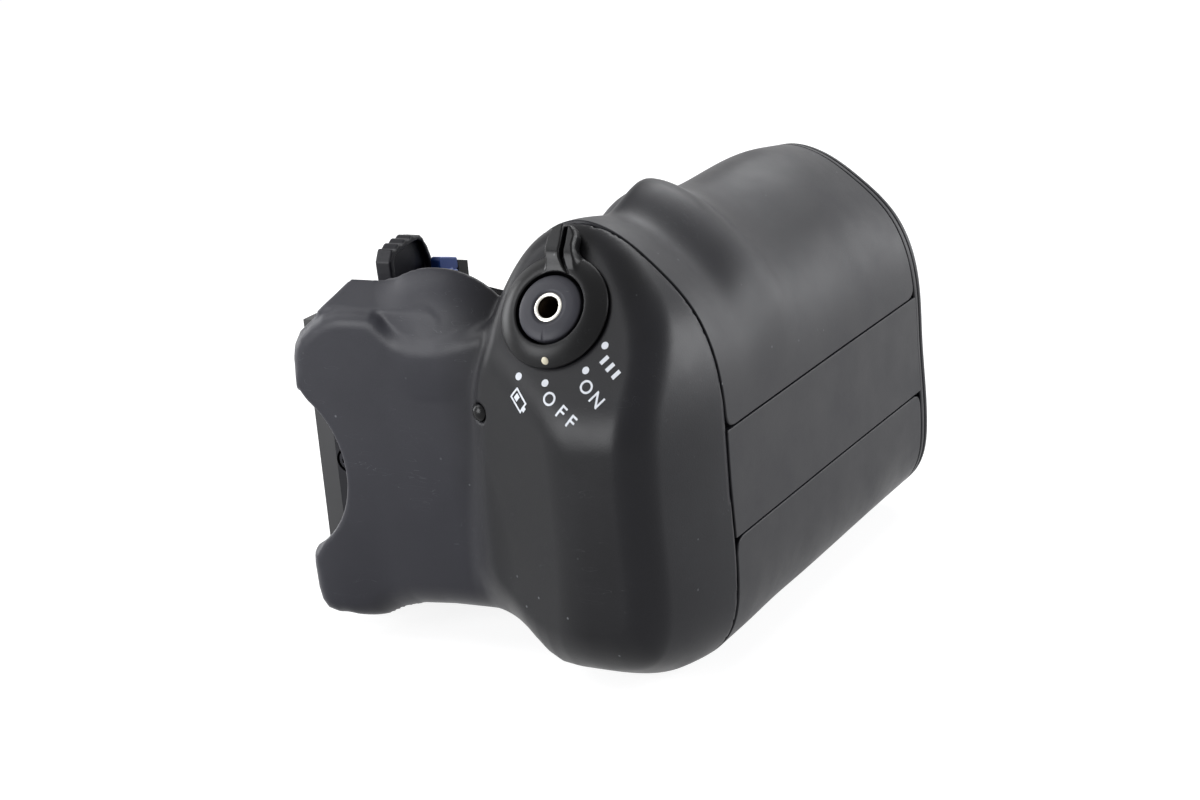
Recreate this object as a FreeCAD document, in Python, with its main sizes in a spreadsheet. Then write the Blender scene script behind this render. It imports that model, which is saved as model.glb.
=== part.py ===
import FreeCAD, Part
import math
import os
import re
import Sketcher
from FreeCAD import Placement, Rotation, Vector

# Power winder grip: a handle with batteries, a head with the release, and a motor drive for a camera.
# Frame: X away from the camera, Y from the head to the battery end, Z towards the finger side.
# Origin: on the camera-side mounting face, at the axis of the drive coupling.

SIZES = {
    # handle outline
    "grip_left": 45.0,
    "grip_flare": 1.2,
    "grip_rear": -37.0,
    "seam_front": 48.4,
    "groove_front": 46.8,
    "ridge_front": 50.2,
    "saddle_front": 45.6,
    "swell_front": 45.4,
    "end_front": 43.0,
    "seam_y": -20.0,
    "groove_y": -10.0,
    "ridge_y": 4.0,
    "saddle_y": 20.0,
    "swell_y": 50.0,
    "end_y": 72.0,
    "loft_steps": 10.0,
    # shells
    "skin": 2.0,
    "case_wall": 1.6,
    "seam_gap": 0.3,
    "band_top": 10.3,
    "band_bottom": -10.5,
    "end_rim": 1.6,
    # head
    "head_wall": 2.2,
    "head_face_y": -44.2,
    "head_depth": 26.0,
    "head_draft": 8.0,
    "platform_tilt": 34.0,
    "platform_x": 62.0,
    "platform_y": -31.5,
    "platform_z": 34.3,
    "cheek_x": 68.0,
    "cheek_turn": 15.0,
    "rim_fillet": 5.0,
    "brow_fillet": 14.0,
    # arm
    "arm_left": 1.8,
    "arm_right": 52.0,
    "arm_top": 31.5,
    "arm_bottom": -30.5,
    "arm_front_y": -32.5,
    "arm_back_y": -25.0,
    "arm_edge": 3.5,
    "arm_corner": 7.0,
    "hump_x": 34.0,
    "hump_top": 40.3,
    "hump_front_y": -30.4,
    "dial_radius": 18.0,
    "dial_x": -6.4,
    "dial_z": -1.6,
    "plate_wall": 1.4,
    # release and selector
    "button_radius": 6.8,
    "button_top": 3.0,
    "button_depth": 5.0,
    "button_travel": 1.5,
    "guide_play": 0.08,
    "guide_wall": 0.47,
    "sleeve_play": 0.65,
    "socket_outer": 2.75,
    "socket_bore": 2.0,
    "sleeve_wall": 1.1,
    "ring_radius": 11.2,
    "ring_lift": 0.3,
    "ring_top": 2.4,
    "ring_edge": 1.5,
    "run_play": 0.1,
    "tab_width": 6.0,
    "tab_reach": 16.3,
    "tab_top": 3.9,
    "dot_radius": 0.6,
    "rotor_radius": 11.0,
    "rotor_depth": 4.6,
    "rotor_thick": 1.2,
    "bracket_depth": 9.0,
    "bracket_thick": 1.4,
    "spring_wire": 0.3,
    "spring_radius": 4.7,
    "lamp_x": 48.5,
    "lamp_y": -38.9,
    "lamp_z": 17.3,
    "lamp_radius": 1.6,
    # drive housing
    "plate_thick": 4.0,
    "block_right": 22.0,
    "block_top": 26.0,
    "block_bottom": -34.4,
    "block_front_y": -23.6,
    "block_back_y": 32.0,
    "slope_y": 9.0,
    "slope_low": 16.5,
    "bridge_top": -9.6,
    "bridge_reach": 52.0,
    "house_wall": 2.0,
    "well_right": 9.8,
    "well_floor": 14.0,
    "cover_thick": 1.6,
    # gears
    "gear_module": 0.6,
    "pinion_teeth": 10.0,
    "idler_teeth": 30.0,
    "idler_small_teeth": 12.0,
    "coupler_teeth": 36.0,
    "gear_width": 3.0,
    "gear_gap": 0.6,
    "mesh_play": 0.1,
    "coupler_gear_x": 5.0,
    "gear_plate_x": 14.0,
    "gear_plate_thick": 1.5,
    "motor_y": 8.0,
    "motor_z": -21.0,
    "motor_radius": 9.5,
    "motor_length": 26.0,
    "motor_shaft": 1.0,
    "coupler_shaft": 3.0,
    "coupler_head": 4.8,
    "coupler_reach": 3.2,
    "bush_radius": 5.2,
    "pin_radius": 1.0,
    # mounting face
    "locator_radius": 1.5,
    "locator_reach": 3.0,
    "locator_root": 1.1,
    "screw_radius": 1.2,
    "screw_head": 2.4,
    "screw_head_thick": 1.3,
    "screw_length": 4.0,
    "contact_radius": 0.6,
    "contact_pitch": 2.6,
    "contact_reach": 1.5,
    "contact_travel": 1.0,
    # lock lever and key
    "lever_x": 5.2,
    "lever_thick": 3.6,
    "lever_y": 1.0,
    "lever_z": 21.0,
    "lever_hub": 4.2,
    "lever_front": 8.0,
    "lever_tip": 37.2,
    "lever_shaft": 2.5,
    "key_x": 10.2,
    "key_y": 7.5,
    "key_width": 2.2,
    "key_long": 6.7,
    "key_fall": 1.6,
    "key_top": 31.8,
    "key_stem": 18.0,
    "key_travel": 1.5,
    "guard_long": 3.7,
    "guard_fall": 1.0,
    "guard_top": 29.5,
    # battery magazine
    "cell_radius": 7.1,
    "cell_length": 50.5,
    "cell_pitch": 14.9,
    "cell_x": 58.6,
    "cell_z": 0.0,
    "cell_y": 13.0,
    "tray_wall": 1.2,
    "tray_play": 3.9,
    "tray_y": 10.0,
    "cap_depth": 1.7,
    "cap_dome": 1.3,
    "cap_bevel": 1.8,
    "knob_radius": 8.0,
    "knob_thick": 1.6,
    "knob_post": 2.5,
}

# The handle is as wide as its two rows of cells, the tray and the walls round them.
GRIP_RIGHT = "cell_x + cell_pitch + cell_radius + tray_wall + tray_play + case_wall + skin"

doc = FreeCAD.newDocument("power_winder_grip")
sheet = doc.addObject("Spreadsheet::Sheet", "sizes")
for row, (alias, value) in enumerate(SIZES.items(), start=1):
    sheet.set("A%d" % row, alias.replace("_", " "))
    sheet.set("B%d" % row, str(value))
    sheet.setAlias("B%d" % row, alias)
doc.recompute()


def dim(alias):
    """Read one driving dimension from the sheet."""
    return float(getattr(sheet, alias))


def bound(text):
    """Turn a formula of aliases into an expression on the sheet."""
    return re.sub(r"[a-z_]+", lambda word: "sizes." + word.group() if word.group() in SIZES else word.group(), text)


TURNS = {
    "z": Rotation(),
    "x": Rotation(Vector(0, 1, 0), 90),
    "-x": Rotation(Vector(0, 1, 0), -90),
    "y": Rotation(Vector(1, 0, 0), -90),
    "-y": Rotation(Vector(1, 0, 0), 90),
}


def primitive(kind, name, sizes, spot, axis="z"):
    """Add a primitive whose sizes and corner or base centre are formulas on the sheet."""
    piece = doc.addObject("Part::" + kind, name)
    piece.Placement = Placement(Vector(), TURNS[axis])
    for label, text in sizes.items():
        piece.setExpression(label, bound(text))
    for letter, text in zip("xyz", spot):
        piece.setExpression("Placement.Base." + letter, bound(text))
    return piece


def box(name, low, high):
    """Add a box between two corners given as formulas."""
    spans = ["(%s) - (%s)" % (top, base) for base, top in zip(low, high)]
    return primitive("Box", name, dict(zip(("Length", "Width", "Height"), spans)), low)


def rod(name, radius, length, spot, axis="z"):
    """Add a cylinder that runs from its base centre along an axis."""
    return primitive("Cylinder", name, {"Radius": radius, "Height": length}, spot, axis)


def cut(name, base, *tools):
    """Take tools away from a base, one after another."""
    for index, tool in enumerate(tools, start=1):
        last = index == len(tools)
        piece = doc.addObject("Part::Cut", name if last else "%s_step_%d" % (name, index))
        piece.Base = base
        piece.Tool = tool
        base = piece
    return base


def fuse(name, *shapes):
    """Join shapes into one solid."""
    piece = doc.addObject("Part::MultiFuse", name)
    piece.Shapes = list(shapes)
    return piece


def common(name, *shapes):
    """Keep what the shapes share."""
    piece = doc.addObject("Part::MultiCommon", name)
    piece.Shapes = list(shapes)
    return piece


def group(name, *shapes):
    """Hold like pieces, such as screws, as separate solids of one node."""
    piece = doc.addObject("Part::Compound", name)
    piece.Links = list(shapes)
    return piece


def formed(name, shape, placement=None):
    """Hold a shape that was worked out from the sheet."""
    piece = doc.addObject("Part::Feature", name)
    piece.Shape = shape
    if placement is not None:
        piece.Placement = placement.multiply(piece.Placement)
    return piece


nodes = []


def node(piece):
    """List a finished sub-part under its own label."""
    piece.Label = piece.Name
    nodes.append(piece)
    return piece


# Outline of the handle across its length, as shares of its width and of its depth.
OUTLINE = (
    (0.99, 0.46), (0.955, 0.69), (0.86, 0.81), (0.70, 0.925), (0.53, 0.985), (0.36, 1.0),
    (0.20, 0.965), (0.07, 0.86), (0.01, 0.68), (0.0, 0.45), (0.0, 0.2), (0.03, 0.07),
    (0.14, 0.01), (0.45, 0.0), (0.78, 0.016), (0.935, 0.085), (0.995, 0.22),
)


def outline_wire(y, left, right, rear, front, inset=0.0):
    """Draw the rounded handle outline in the plane at y."""
    wide = right - left - 2 * inset
    deep = front - rear - 2 * inset
    points = [Vector(left + inset + wide * u, y, rear + inset + deep * v) for u, v in OUTLINE]
    curve = Part.BSplineCurve()
    curve.interpolate(Points=points, PeriodicFlag=True)
    return Part.Wire([curve.toShape()])


def front_height(y):
    """Height of the handle's finger side at y: level at each named station and eased between them."""
    names = ("seam", "groove", "ridge", "saddle", "swell", "end")
    stations = [(dim(name + "_y"), dim(name + "_front")) for name in names]
    y = min(max(y, stations[0][0]), stations[-1][0])
    for (near_y, near_front), (far_y, far_front) in zip(stations, stations[1:]):
        if y <= far_y:
            ease = (1 - math.cos(math.pi * (y - near_y) / (far_y - near_y))) / 2
            return near_front + (far_front - near_front) * ease
    return stations[-1][1]


def grip_shape(inset):
    """Loft the handle from the head seam to the battery end, with a straight overrun at both ends."""
    first = dim("seam_y")
    last = dim("end_y")
    count = int(dim("loft_steps"))
    pitch = (last - first) / count
    wires = []
    for number in range(-1, count + 2):
        y = first + number * pitch
        share = min(max(number / count, 0.0), 1.0)
        right = value_of(GRIP_RIGHT) + dim("grip_flare") * share ** 2
        rear = dim("grip_rear") + dim("grip_flare") * share
        wires.append(outline_wire(y, dim("grip_left"), right, rear, front_height(y), inset))
    return Part.makeLoft(wires, True, False)


# Screws that hold the head to the bulkhead, across and up.
HEAD_BOSSES = (
    ("grip_left + 8", "band_top - 6"), (GRIP_RIGHT + " - 12", "band_top + 9"),
    ("grip_left + 12", "grip_rear + 8"), (GRIP_RIGHT + " - 12", "grip_rear + 8"),
)


def handle_shells():
    """Make the case with its spine band, the two covers and the bulkhead."""
    ends = (dim("seam_y"), dim("end_y"))
    slab = Part.makeBox(300, ends[1] - ends[0], 300, Vector(-100, ends[0], -150))
    outer = formed("grip_outer", grip_shape(0.0).common(slab))
    liner = formed("grip_liner", grip_shape(dim("skin")))
    hollow = formed("grip_hollow", grip_shape(dim("skin") + dim("case_wall")))
    left = "grip_left - 5"
    right = GRIP_RIGHT + " + 5"
    front_zone = box("front_zone", (left, "seam_y - 1", "band_top"), (right, "end_y - end_rim", "ridge_front + 5"))
    rear_zone = box("rear_zone", (left, "seam_y - 1", "grip_rear - 5"), (right, "end_y - end_rim", "band_bottom"))
    front_rebate = cut("front_rebate", front_zone, liner)
    rear_rebate = cut("rear_rebate", rear_zone, liner)
    tube = cut("case_tube", outer, hollow)
    node(cut("spine_case", tube, front_rebate, rear_rebate))
    shell = cut("cover_shell", outer, liner)
    front_low = (left, "seam_y", "band_top + seam_gap")
    front_high = (right, "end_y - end_rim - seam_gap", "ridge_front + 5")
    node(common("front_grip_cover", shell, box("front_box", front_low, front_high)))
    rear_low = (left, "seam_y", "grip_rear - 5")
    rear_high = (right, "end_y - end_rim - seam_gap", "band_bottom - seam_gap")
    node(common("rear_palm_cover", shell, box("rear_box", rear_low, rear_high)))
    wall_low = ("grip_left", "seam_y", "grip_rear")
    wall_high = (GRIP_RIGHT, "seam_y + head_wall", "seam_front")
    wall = common("bulkhead_wall", hollow, box("bulkhead_slab", wall_low, wall_high))
    window = box("switch_window", ("platform_x - 7", "seam_y - 1", "platform_z - 12"),
                 ("platform_x + 7", "seam_y + 5", "platform_z - 2"))
    holes = []
    screws = []
    for index, (x, z) in enumerate(HEAD_BOSSES):
        spot = (x, "seam_y + head_wall + screw_head_thick", z)
        holes.append(rod("bulkhead_hole_%d" % index, "screw_radius", "20", (x, "seam_y - 5", z), "y"))
        screws.append(screw("bulkhead_screw_%d" % index, spot, "-y", "screw_length"))
    node(cut("bulkhead", wall, window, *holes))
    node(group("bulkhead_screws", *screws))
    return outer


def screw(name, spot, axis, length):
    """Make a pan-head screw whose head's top centre is at the spot and whose axis leads into the work."""
    ways = {"x": (1, 0, 0), "-x": (-1, 0, 0), "y": (0, 1, 0), "-y": (0, -1, 0), "z": (0, 0, 1), "-z": (0, 0, -1)}
    head = rod(name + "_head", "screw_head", "screw_head_thick", spot, axis)
    neck = [text + " + %d * screw_head_thick * 0.9" % way if way else text for text, way in zip(spot, ways[axis])]
    shank = rod(name + "_shank", "screw_radius", length, neck, axis)
    notch_a = rod(name + "_recess", "screw_radius * 0.7", "screw_head_thick * 0.6", spot, axis)
    return cut(name, fuse(name + "_solid", head, shank), notch_a)


# The release frame: its own z points out of the platform, its y up the slope towards the fingers.
def release_placement():
    """Give the placement of the tilted platform, at the middle of the release."""
    base = Vector(dim("platform_x"), dim("platform_y"), dim("platform_z"))
    return Placement(base, Rotation(Vector(1, 0, 0), 90 - dim("platform_tilt")))


def head_solid(inset):
    """Loft the head forward from the seam, then cut the sloping platform, the flat face and the cheek."""
    seam = dim("seam_y")
    depth = dim("head_depth")
    draft = dim("head_draft")
    left = dim("grip_left")
    right = value_of(GRIP_RIGHT)
    rear = dim("grip_rear")
    front = dim("seam_front")
    steps = ((0.0, 0.0, 0.0, 0.0), (0.46, 0.0, 0.35, -0.1), (1.0, 0.0, 0.9, -0.7))
    wires = []
    for along, left_share, right_share, rear_share in steps:
        y = seam - depth * along
        near = left + draft * left_share
        far = right - draft * right_share
        low = rear - draft * rear_share
        wires.append(outline_wire(y, near, far, low, front + 0.6 * along, inset))
    side = Part.makeLoft(wires, True, False)
    place = release_placement()
    shift = place.Rotation.multVec(Vector(0, 0, -inset))
    reach = 150.0
    above = Part.makeBox(2 * reach, 2 * reach, reach, Vector(-reach, -reach, 0))
    above.Placement = Placement(place.Base + shift, place.Rotation)
    ahead = Part.makeBox(2 * reach, reach, 2 * reach, Vector(-reach, dim("head_face_y") + inset - reach, -reach))
    beside = Part.makeBox(2 * reach, reach, 2 * reach, Vector(-reach, inset - reach, -reach))
    hinge = Vector(dim("cheek_x"), dim("head_face_y"), 0)
    beside.Placement = Placement(hinge, Rotation(Vector(0, 0, 1), -dim("cheek_turn")))
    solid = side.cut(above).cut(ahead).cut(beside)
    skirt = max(solid.Faces, key=lambda face: face.Area)
    outside = [edge.hashCode() for edge in skirt.Edges]
    folds = [edge for edge in solid.Edges if edge.hashCode() not in outside]
    solid = solid.makeFillet(dim("brow_fillet"), folds)
    skirt = max(solid.Faces, key=lambda face: face.Area)
    rim = [edge for edge in skirt.Edges if edge.BoundBox.YMin < seam - 1.0]
    return solid.makeFillet(dim("rim_fillet") - 0.6 * inset, rim)


def arm_layer(inset, front_y, back_y):
    """Make the arm's plate between two planes, with the dial clearance and softened front edges."""
    left = dim("arm_left") + inset
    top = dim("arm_top") - inset
    bottom = dim("arm_bottom") + inset
    plate = Part.makeBox(dim("arm_right") - left, back_y - front_y, top - bottom, Vector(left, front_y, bottom))
    corners = [e for e in plate.Edges if e.BoundBox.YLength > 1 and e.BoundBox.XMax < left + 0.1]
    plate = plate.makeFillet(dim("arm_corner"), corners)
    spot = Vector(dim("dial_x"), -60, dim("dial_z"))
    dial = Part.makeCylinder(dim("dial_radius") + inset, 60, spot, Vector(0, 1, 0))
    plate = plate.cut(dial)
    rim = [e for e in plate.Edges if e.BoundBox.YMax < front_y + 0.1 and e.BoundBox.XMin < dim("arm_right") - 1]
    if inset == 0:
        plate = plate.makeFillet(dim("arm_edge"), rim)
    return plate


def hump_layer(inset, front_y, back_y):
    """Make the bulge on the arm's finger side, a flat ledge that rises to a rounded back."""
    top = dim("hump_top") - inset
    middle = dim("hump_x")
    ledge = dim("arm_top") + 4.0 - inset
    base = dim("arm_top") - 14.0
    spots = ((-25.0, ledge - 4.5), (-18.6, ledge), (-11.0, ledge + 0.8), (-6.0, top - 1.4), (0.0, top),
             (8.0, top - 1.9), (18.0, top - 6.0))
    crest = Part.BSplineCurve()
    crest.interpolate(Points=[Vector(middle + dx, front_y, z) for dx, z in spots])
    first = Vector(middle + spots[0][0], front_y, base)
    last = Vector(middle + spots[-1][0], front_y, base)
    start = crest.StartPoint
    finish = crest.EndPoint
    sides = (Part.makeLine(first, start), crest.toShape(), Part.makeLine(finish, last), Part.makeLine(last, first))
    wire = Part.Wire(list(sides))
    body = Part.Face(wire).extrude(Vector(0, back_y - front_y, 0))
    if inset == 0:
        rim = [e for e in body.Edges if e.BoundBox.YMax < front_y + 0.1 and e.BoundBox.ZMax > base + 4]
        body = body.makeFillet(2.5, [e for e in rim if e.BoundBox.XLength > 5])
    return body


def head_cover():
    """Make the moulded head cover in one piece with its arm, then hollow and drill it."""
    wall = dim("head_wall")
    back = dim("arm_back_y")
    outer = head_solid(0.0).fuse(arm_layer(0.0, dim("arm_front_y"), back))
    outer = outer.fuse(hump_layer(0.0, dim("hump_front_y"), back))
    inner = head_solid(wall).fuse(arm_layer(wall, dim("arm_front_y") + wall, back))
    inner = inner.fuse(hump_layer(wall, dim("hump_front_y") + wall, back))
    sleeve = Part.makeCylinder(sleeve_radius() + dim("run_play"), 30, Vector(0, 0, -15))
    sleeve.Placement = release_placement()
    lens = Part.makeCylinder(dim("lamp_radius"), 8, Vector(0, 0, -6))
    lens.Placement = lamp_placement()
    behind = Part.makeBox(300, 100, 300, Vector(-100, dim("seam_y") - dim("seam_gap"), -150))
    shell = outer.cut(behind).cut(inner)
    front = dim("seam_y") - dim("seam_gap")
    for x, z in HEAD_BOSSES:
        spot = Vector(value_of(x), front - 60, value_of(z))
        boss = Part.makeCylinder(dim("screw_head") + 0.6, 60, spot, Vector(0, 1, 0)).common(outer)
        tap = Part.makeCylinder(dim("screw_radius"), 4.5, Vector(spot.x, front - 4.5, spot.z), Vector(0, 1, 0))
        shell = shell.fuse(boss).cut(tap)
    node(formed("head_cover", shell.cut(sleeve).cut(lens)))


def lamp_placement():
    """Place the battery lamp square to the head's cheek."""
    way = Vector(-0.26, -0.96, 0.05)
    return Placement(Vector(dim("lamp_x"), dim("lamp_y"), dim("lamp_z")), Rotation(Vector(0, 0, 1), way))


def lamp():
    """Make the domed lens of the battery lamp."""
    radius = dim("lamp_radius")
    stem = Part.makeCylinder(radius - 0.05, 4.0, Vector(0, 0, -3.6))
    dome = Part.makeSphere(radius * 1.25, Vector(0, 0, 0.4 - radius * 0.75))
    dome = dome.common(Part.makeCylinder(radius - 0.05, 3.0, Vector(0, 0, 0.4)))
    node(formed("battery_lamp", stem.fuse(dome).removeSplitter(), lamp_placement()))


def sleeve_radius():
    """Outer radius of the selector's sleeve, round the button and its play."""
    return dim("button_radius") + dim("sleeve_play") + dim("sleeve_wall")


def turned(name, points, placement):
    """Turn a closed half-section of (radius, height) formulas about its own axis, as a body with a sketch."""
    body = doc.addObject("PartDesign::Body", name)
    sketch = body.newObject("Sketcher::SketchObject", name + "_section")
    plane = [item for item in body.Origin.OriginFeatures if item.Role == "XZ_Plane"][0]
    sketch.AttachmentSupport = [(plane, "")]
    sketch.MapMode = "FlatFace"
    values = [(value_of(r), value_of(z)) for r, z in points]
    count = len(points)
    for index in range(count):
        start = Vector(values[index][0], values[index][1], 0)
        end = Vector(values[(index + 1) % count][0], values[(index + 1) % count][1], 0)
        sketch.addGeometry(Part.LineSegment(start, end), False)
    for index in range(count):
        sketch.addConstraint(Sketcher.Constraint("Coincident", index, 2, (index + 1) % count, 1))
    for index, (radius, height) in enumerate(points):
        for kind, text, value in (("DistanceX", radius, values[index][0]), ("DistanceY", height, values[index][1])):
            if abs(value) < 1e-9:
                sketch.addConstraint(Sketcher.Constraint("PointOnObject", index, 1, -2 if kind == "DistanceX" else -1))
                continue
            number = sketch.addConstraint(Sketcher.Constraint(kind, -1, 1, index, 1, value))
            sketch.setExpression("Constraints[%d]" % number, bound(text))
    turn = body.newObject("PartDesign::Revolution", name + "_turn")
    turn.Profile = sketch
    turn.ReferenceAxis = (sketch, ["V_Axis"])
    turn.Angle = 360
    body.Placement = placement
    return body


def value_of(text):
    """Work out a formula of aliases."""
    return eval_formula(re.findall(r"[a-z_]+|[-+*/()]|[0-9.]+", text))


def eval_formula(tokens):
    """Add, subtract and multiply the terms of a formula read as tokens."""
    total = 0.0
    sign = 1.0
    product = None
    for token in tokens:
        if token in "+-":
            total += sign * product if product is not None else 0.0
            sign = 1.0 if token == "+" else -1.0
            product = None
        elif token != "*":
            factor = dim(token) if token in SIZES else float(token)
            product = factor if product is None else product * factor
    return total + sign * product


def release():
    """Make the release button, its threaded cable socket and the return spring."""
    place = release_placement()
    button = (
        ("socket_outer", "0 - button_depth"), ("spring_radius - 1.1", "0 - button_depth"),
        ("spring_radius - 1.1", "1.0"), ("button_radius - 0.9", "1.0"), ("button_radius - 0.9", "0 - button_depth"),
        ("button_radius", "0 - button_depth"), ("button_radius", "button_top - 0.5"),
        ("button_radius - 0.4", "button_top - 0.2"), ("socket_outer", "button_top"),
    )
    node(turned("release_button", button, place))
    socket = (
        ("socket_bore", "0 - button_depth"), ("socket_outer", "0 - button_depth"),
        ("socket_outer", "button_top + 0.1"), ("socket_bore + 0.3", "button_top + 0.1"),
        ("socket_bore", "button_top - 0.2"),
    )
    node(turned("cable_socket", socket, place))
    wire = dim("spring_wire")
    bottom = wire - dim("bracket_depth")
    height = 1.0 - wire - 0.1 - bottom
    helix = Part.makeHelix(height / 6.0, height, dim("spring_radius") - 0.1)
    section = wire_section(wire, dim("spring_radius") - 0.1)
    spring = Part.Wire(helix.Edges).makePipeShell([section], True, True)
    spring.translate(Vector(0, 0, bottom))
    node(formed("release_spring", spring, place))


def wire_section(wire, reach):
    """Draw a spring wire's eight-sided section at a reach from the coil's axis."""
    corners = []
    for index in range(8):
        angle = math.radians(22.5 + 45 * index)
        corners.append(Vector(reach + wire * math.cos(angle), 0, wire * math.sin(angle)))
    return Part.makePolygon(corners + corners[:1])


def selector():
    """Make the selector ring with its finger tab, the index dot, the rotor and its detent leaf."""
    place = release_placement()
    sleeve = "button_radius + sleeve_play"
    ring = turned("ring_body", (
        (sleeve, "0 - rotor_depth - rotor_thick"), (sleeve + " + sleeve_wall", "0 - rotor_depth - rotor_thick"),
        (sleeve + " + sleeve_wall", "ring_lift"), ("ring_radius", "ring_lift"), ("ring_radius", "ring_edge"),
        ("ring_radius - 0.8", "ring_top"), (sleeve + " + 0.5", "ring_top + 0.2"), (sleeve, "ring_top - 0.2"),
    ), place)
    radius = dim("ring_radius")
    reach = dim("tab_reach")
    half = dim("tab_width") / 2
    spots = ((-half - 1.4, radius - 2.6), (-half - 0.6, radius + 0.8), (-half, reach - 1.6), (-half + 1.5, reach),
             (half - 1.2, reach - 0.4), (half, reach - 2.4), (half + 0.6, radius + 0.8), (half + 1.4, radius - 2.6))
    corners = [Vector(x, y, dim("ring_lift")) for x, y in spots]
    tab = Part.Face(Part.makePolygon(corners + corners[:1])).extrude(Vector(0, 0, dim("tab_top") - dim("ring_lift")))
    slope = Part.makeBox(4 * half, reach, 5, Vector(-2 * half, radius - 3.0, dim("tab_top") - 1.6))
    slope.Placement = Placement(Vector(0, 0, 0), Rotation(Vector(0, 1, 0), 16), Vector(-half, radius, dim("tab_top")))
    tab = tab.cut(slope)
    bore = Part.makeCylinder(radius - 2.0, 20, Vector(0, 0, -10))
    tab_piece = formed("selector_tab", tab.cut(bore), place)
    spot = Vector(0, 1.6 - radius, ring_face() - 0.6)
    seat = formed("dot_seat", Part.makeCylinder(dim("dot_radius"), 3, spot), place)
    node(cut("selector_ring", fuse("ring_solid", ring, tab_piece), seat))
    dot = Part.makeCylinder(dim("dot_radius"), 0.6, spot)
    node(formed("index_dot", dot, place))
    rim = sleeve + " + sleeve_wall"
    rotor = (
        (rim, "0 - rotor_depth - rotor_thick"), ("rotor_radius", "0 - rotor_depth - rotor_thick"),
        ("rotor_radius", "0 - rotor_depth"), (rim, "0 - rotor_depth"),
    )
    node(turned("selector_rotor", rotor, place))
    low = -dim("rotor_depth") - dim("rotor_thick") - 0.8
    near = dim("button_radius") + dim("guide_play") + dim("guide_wall") + 0.15
    far = dim("rotor_radius") - 0.5
    wide = far - near
    leaf = Part.makeBox(16, wide, 0.4, Vector(-8, -far, low))
    bump = Part.makeSphere(1.0, Vector(0, -(far + near) / 2, low - 0.5))
    leaf = leaf.fuse(bump.common(Part.makeBox(4, 4, 1.0, Vector(-2, -dim("rotor_radius"), low))))
    post = Part.makeBox(3, wide, dim("bracket_depth") + low, Vector(-8, -far, -dim("bracket_depth")))
    node(formed("detent_leaf", leaf.fuse(post).removeSplitter(), place))


def ring_face():
    """Height of the ring's upper face where the index dot sits."""
    return dim("ring_top") + 0.05


def switch():
    """Make the bracket under the release, the microswitch on it and the circuit board behind."""
    place = release_placement()
    depth = dim("bracket_depth")
    thick = dim("bracket_thick")
    plate = Part.makeBox(22, 17.0, thick, Vector(-11, -12, -depth - thick))
    hole = Part.makeCylinder(2.6, 10, Vector(0, 0, -depth - 5))
    bore = dim("button_radius") + dim("guide_play")
    guide = Part.makeCylinder(bore + dim("guide_wall"), depth + dim("ring_edge"), Vector(0, 0, -depth))
    guide = guide.cut(Part.makeCylinder(bore, 3 * depth, Vector(0, 0, -2 * depth + dim("ring_edge"))))
    node(formed("switch_bracket", plate.cut(hole).fuse(guide).removeSplitter(), place))
    stop = dim("button_depth") + dim("button_travel") + 0.2
    case = Part.makeBox(12, 6, 4.5, Vector(-6, -3, -depth - thick - 4.5))
    plunger = Part.makeCylinder(1.6, depth + thick + 0.5 - stop, Vector(0, 0, -depth - thick - 0.5))
    node(formed("release_switch", case.fuse(plunger), place))
    node(box("circuit_board", ("grip_left + 12", "seam_y - 3.6", "grip_rear + 12"),
             (GRIP_RIGHT + " - 10", "seam_y - 2.0", "band_top + 2")))
    parts = [
        box("board_chip", ("grip_left + 18", "seam_y - 6.2", "band_bottom"),
            ("grip_left + 28", "seam_y - 3.6", "band_bottom + 8")),
        box("board_relay", (GRIP_RIGHT + " - 24", "seam_y - 10", "band_bottom - 6"),
            (GRIP_RIGHT + " - 14", "seam_y - 3.6", "band_bottom + 8")),
        rod("board_capacitor", "3", "9", ("grip_left + 22", "seam_y - 3.6", "grip_rear + 19"), "-y"),
    ]
    node(group("board_components", *parts))
    posts = []
    for row, z in enumerate(("grip_rear + 16", "band_top - 2")):
        for column, x in enumerate(("grip_left + 16", GRIP_RIGHT + " - 14")):
            posts.append(rod("board_post_%d_%d" % (row, column), "1.8", "2.0", (x, "seam_y - 2.0", z), "y"))
    node(group("board_posts", *posts))


def arm_plate():
    """Close the back of the arm with a flat plate and its screws."""
    back = dim("arm_back_y")
    layer = arm_layer(0.2, back - 5, back + dim("plate_wall"))
    slab = Part.makeBox(dim("arm_right"), dim("plate_wall"), 120, Vector(0, back, -60))
    trim = head_solid(0.0)
    plate = formed("arm_plate_blank", layer.common(slab).cut(trim))
    screws = []
    holes = []
    for index, z in enumerate(("arm_top - 9", "arm_top - 30")):
        spot = ("hump_x", "arm_back_y + plate_wall + screw_head_thick", z)
        screws.append(screw("arm_screw_%d" % index, spot, "-y", "5"))
        holes.append(rod("arm_hole_%d" % index, "screw_radius", "20", ("hump_x", "arm_back_y - 5", z), "y"))
    node(cut("arm_back_plate", plate, *holes))
    node(group("arm_screws", *screws))


PLATE_SCREWS = ((-19.0, 8.0), (-19.0, -14.0), (27.5, -27.0), (27.5, 11.0))
LOCATORS = ((-18.0, -26.0), (25.0, 15.5))


def prism(corners, start, length):
    """Extrude a (y, z) outline along X."""
    spots = [Vector(start, y, z) for y, z in corners]
    return Part.Face(Part.makePolygon(spots + spots[:1])).extrude(Vector(length, 0, 0))


def back_slope():
    """Make the cutter that slopes the housing and its plate down towards the back."""
    y, top = dim("slope_y"), dim("block_top")
    back, low = dim("block_back_y"), dim("slope_low")
    fall = (top - low) / (back - y)
    over = 10.0
    corners = ((y - over, top + over * fall), (back + over, low - over * fall), (back + over, top + over),
               (y - over, top + over))
    return formed("back_slope", prism(corners, -over, dim("bridge_reach")))


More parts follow.
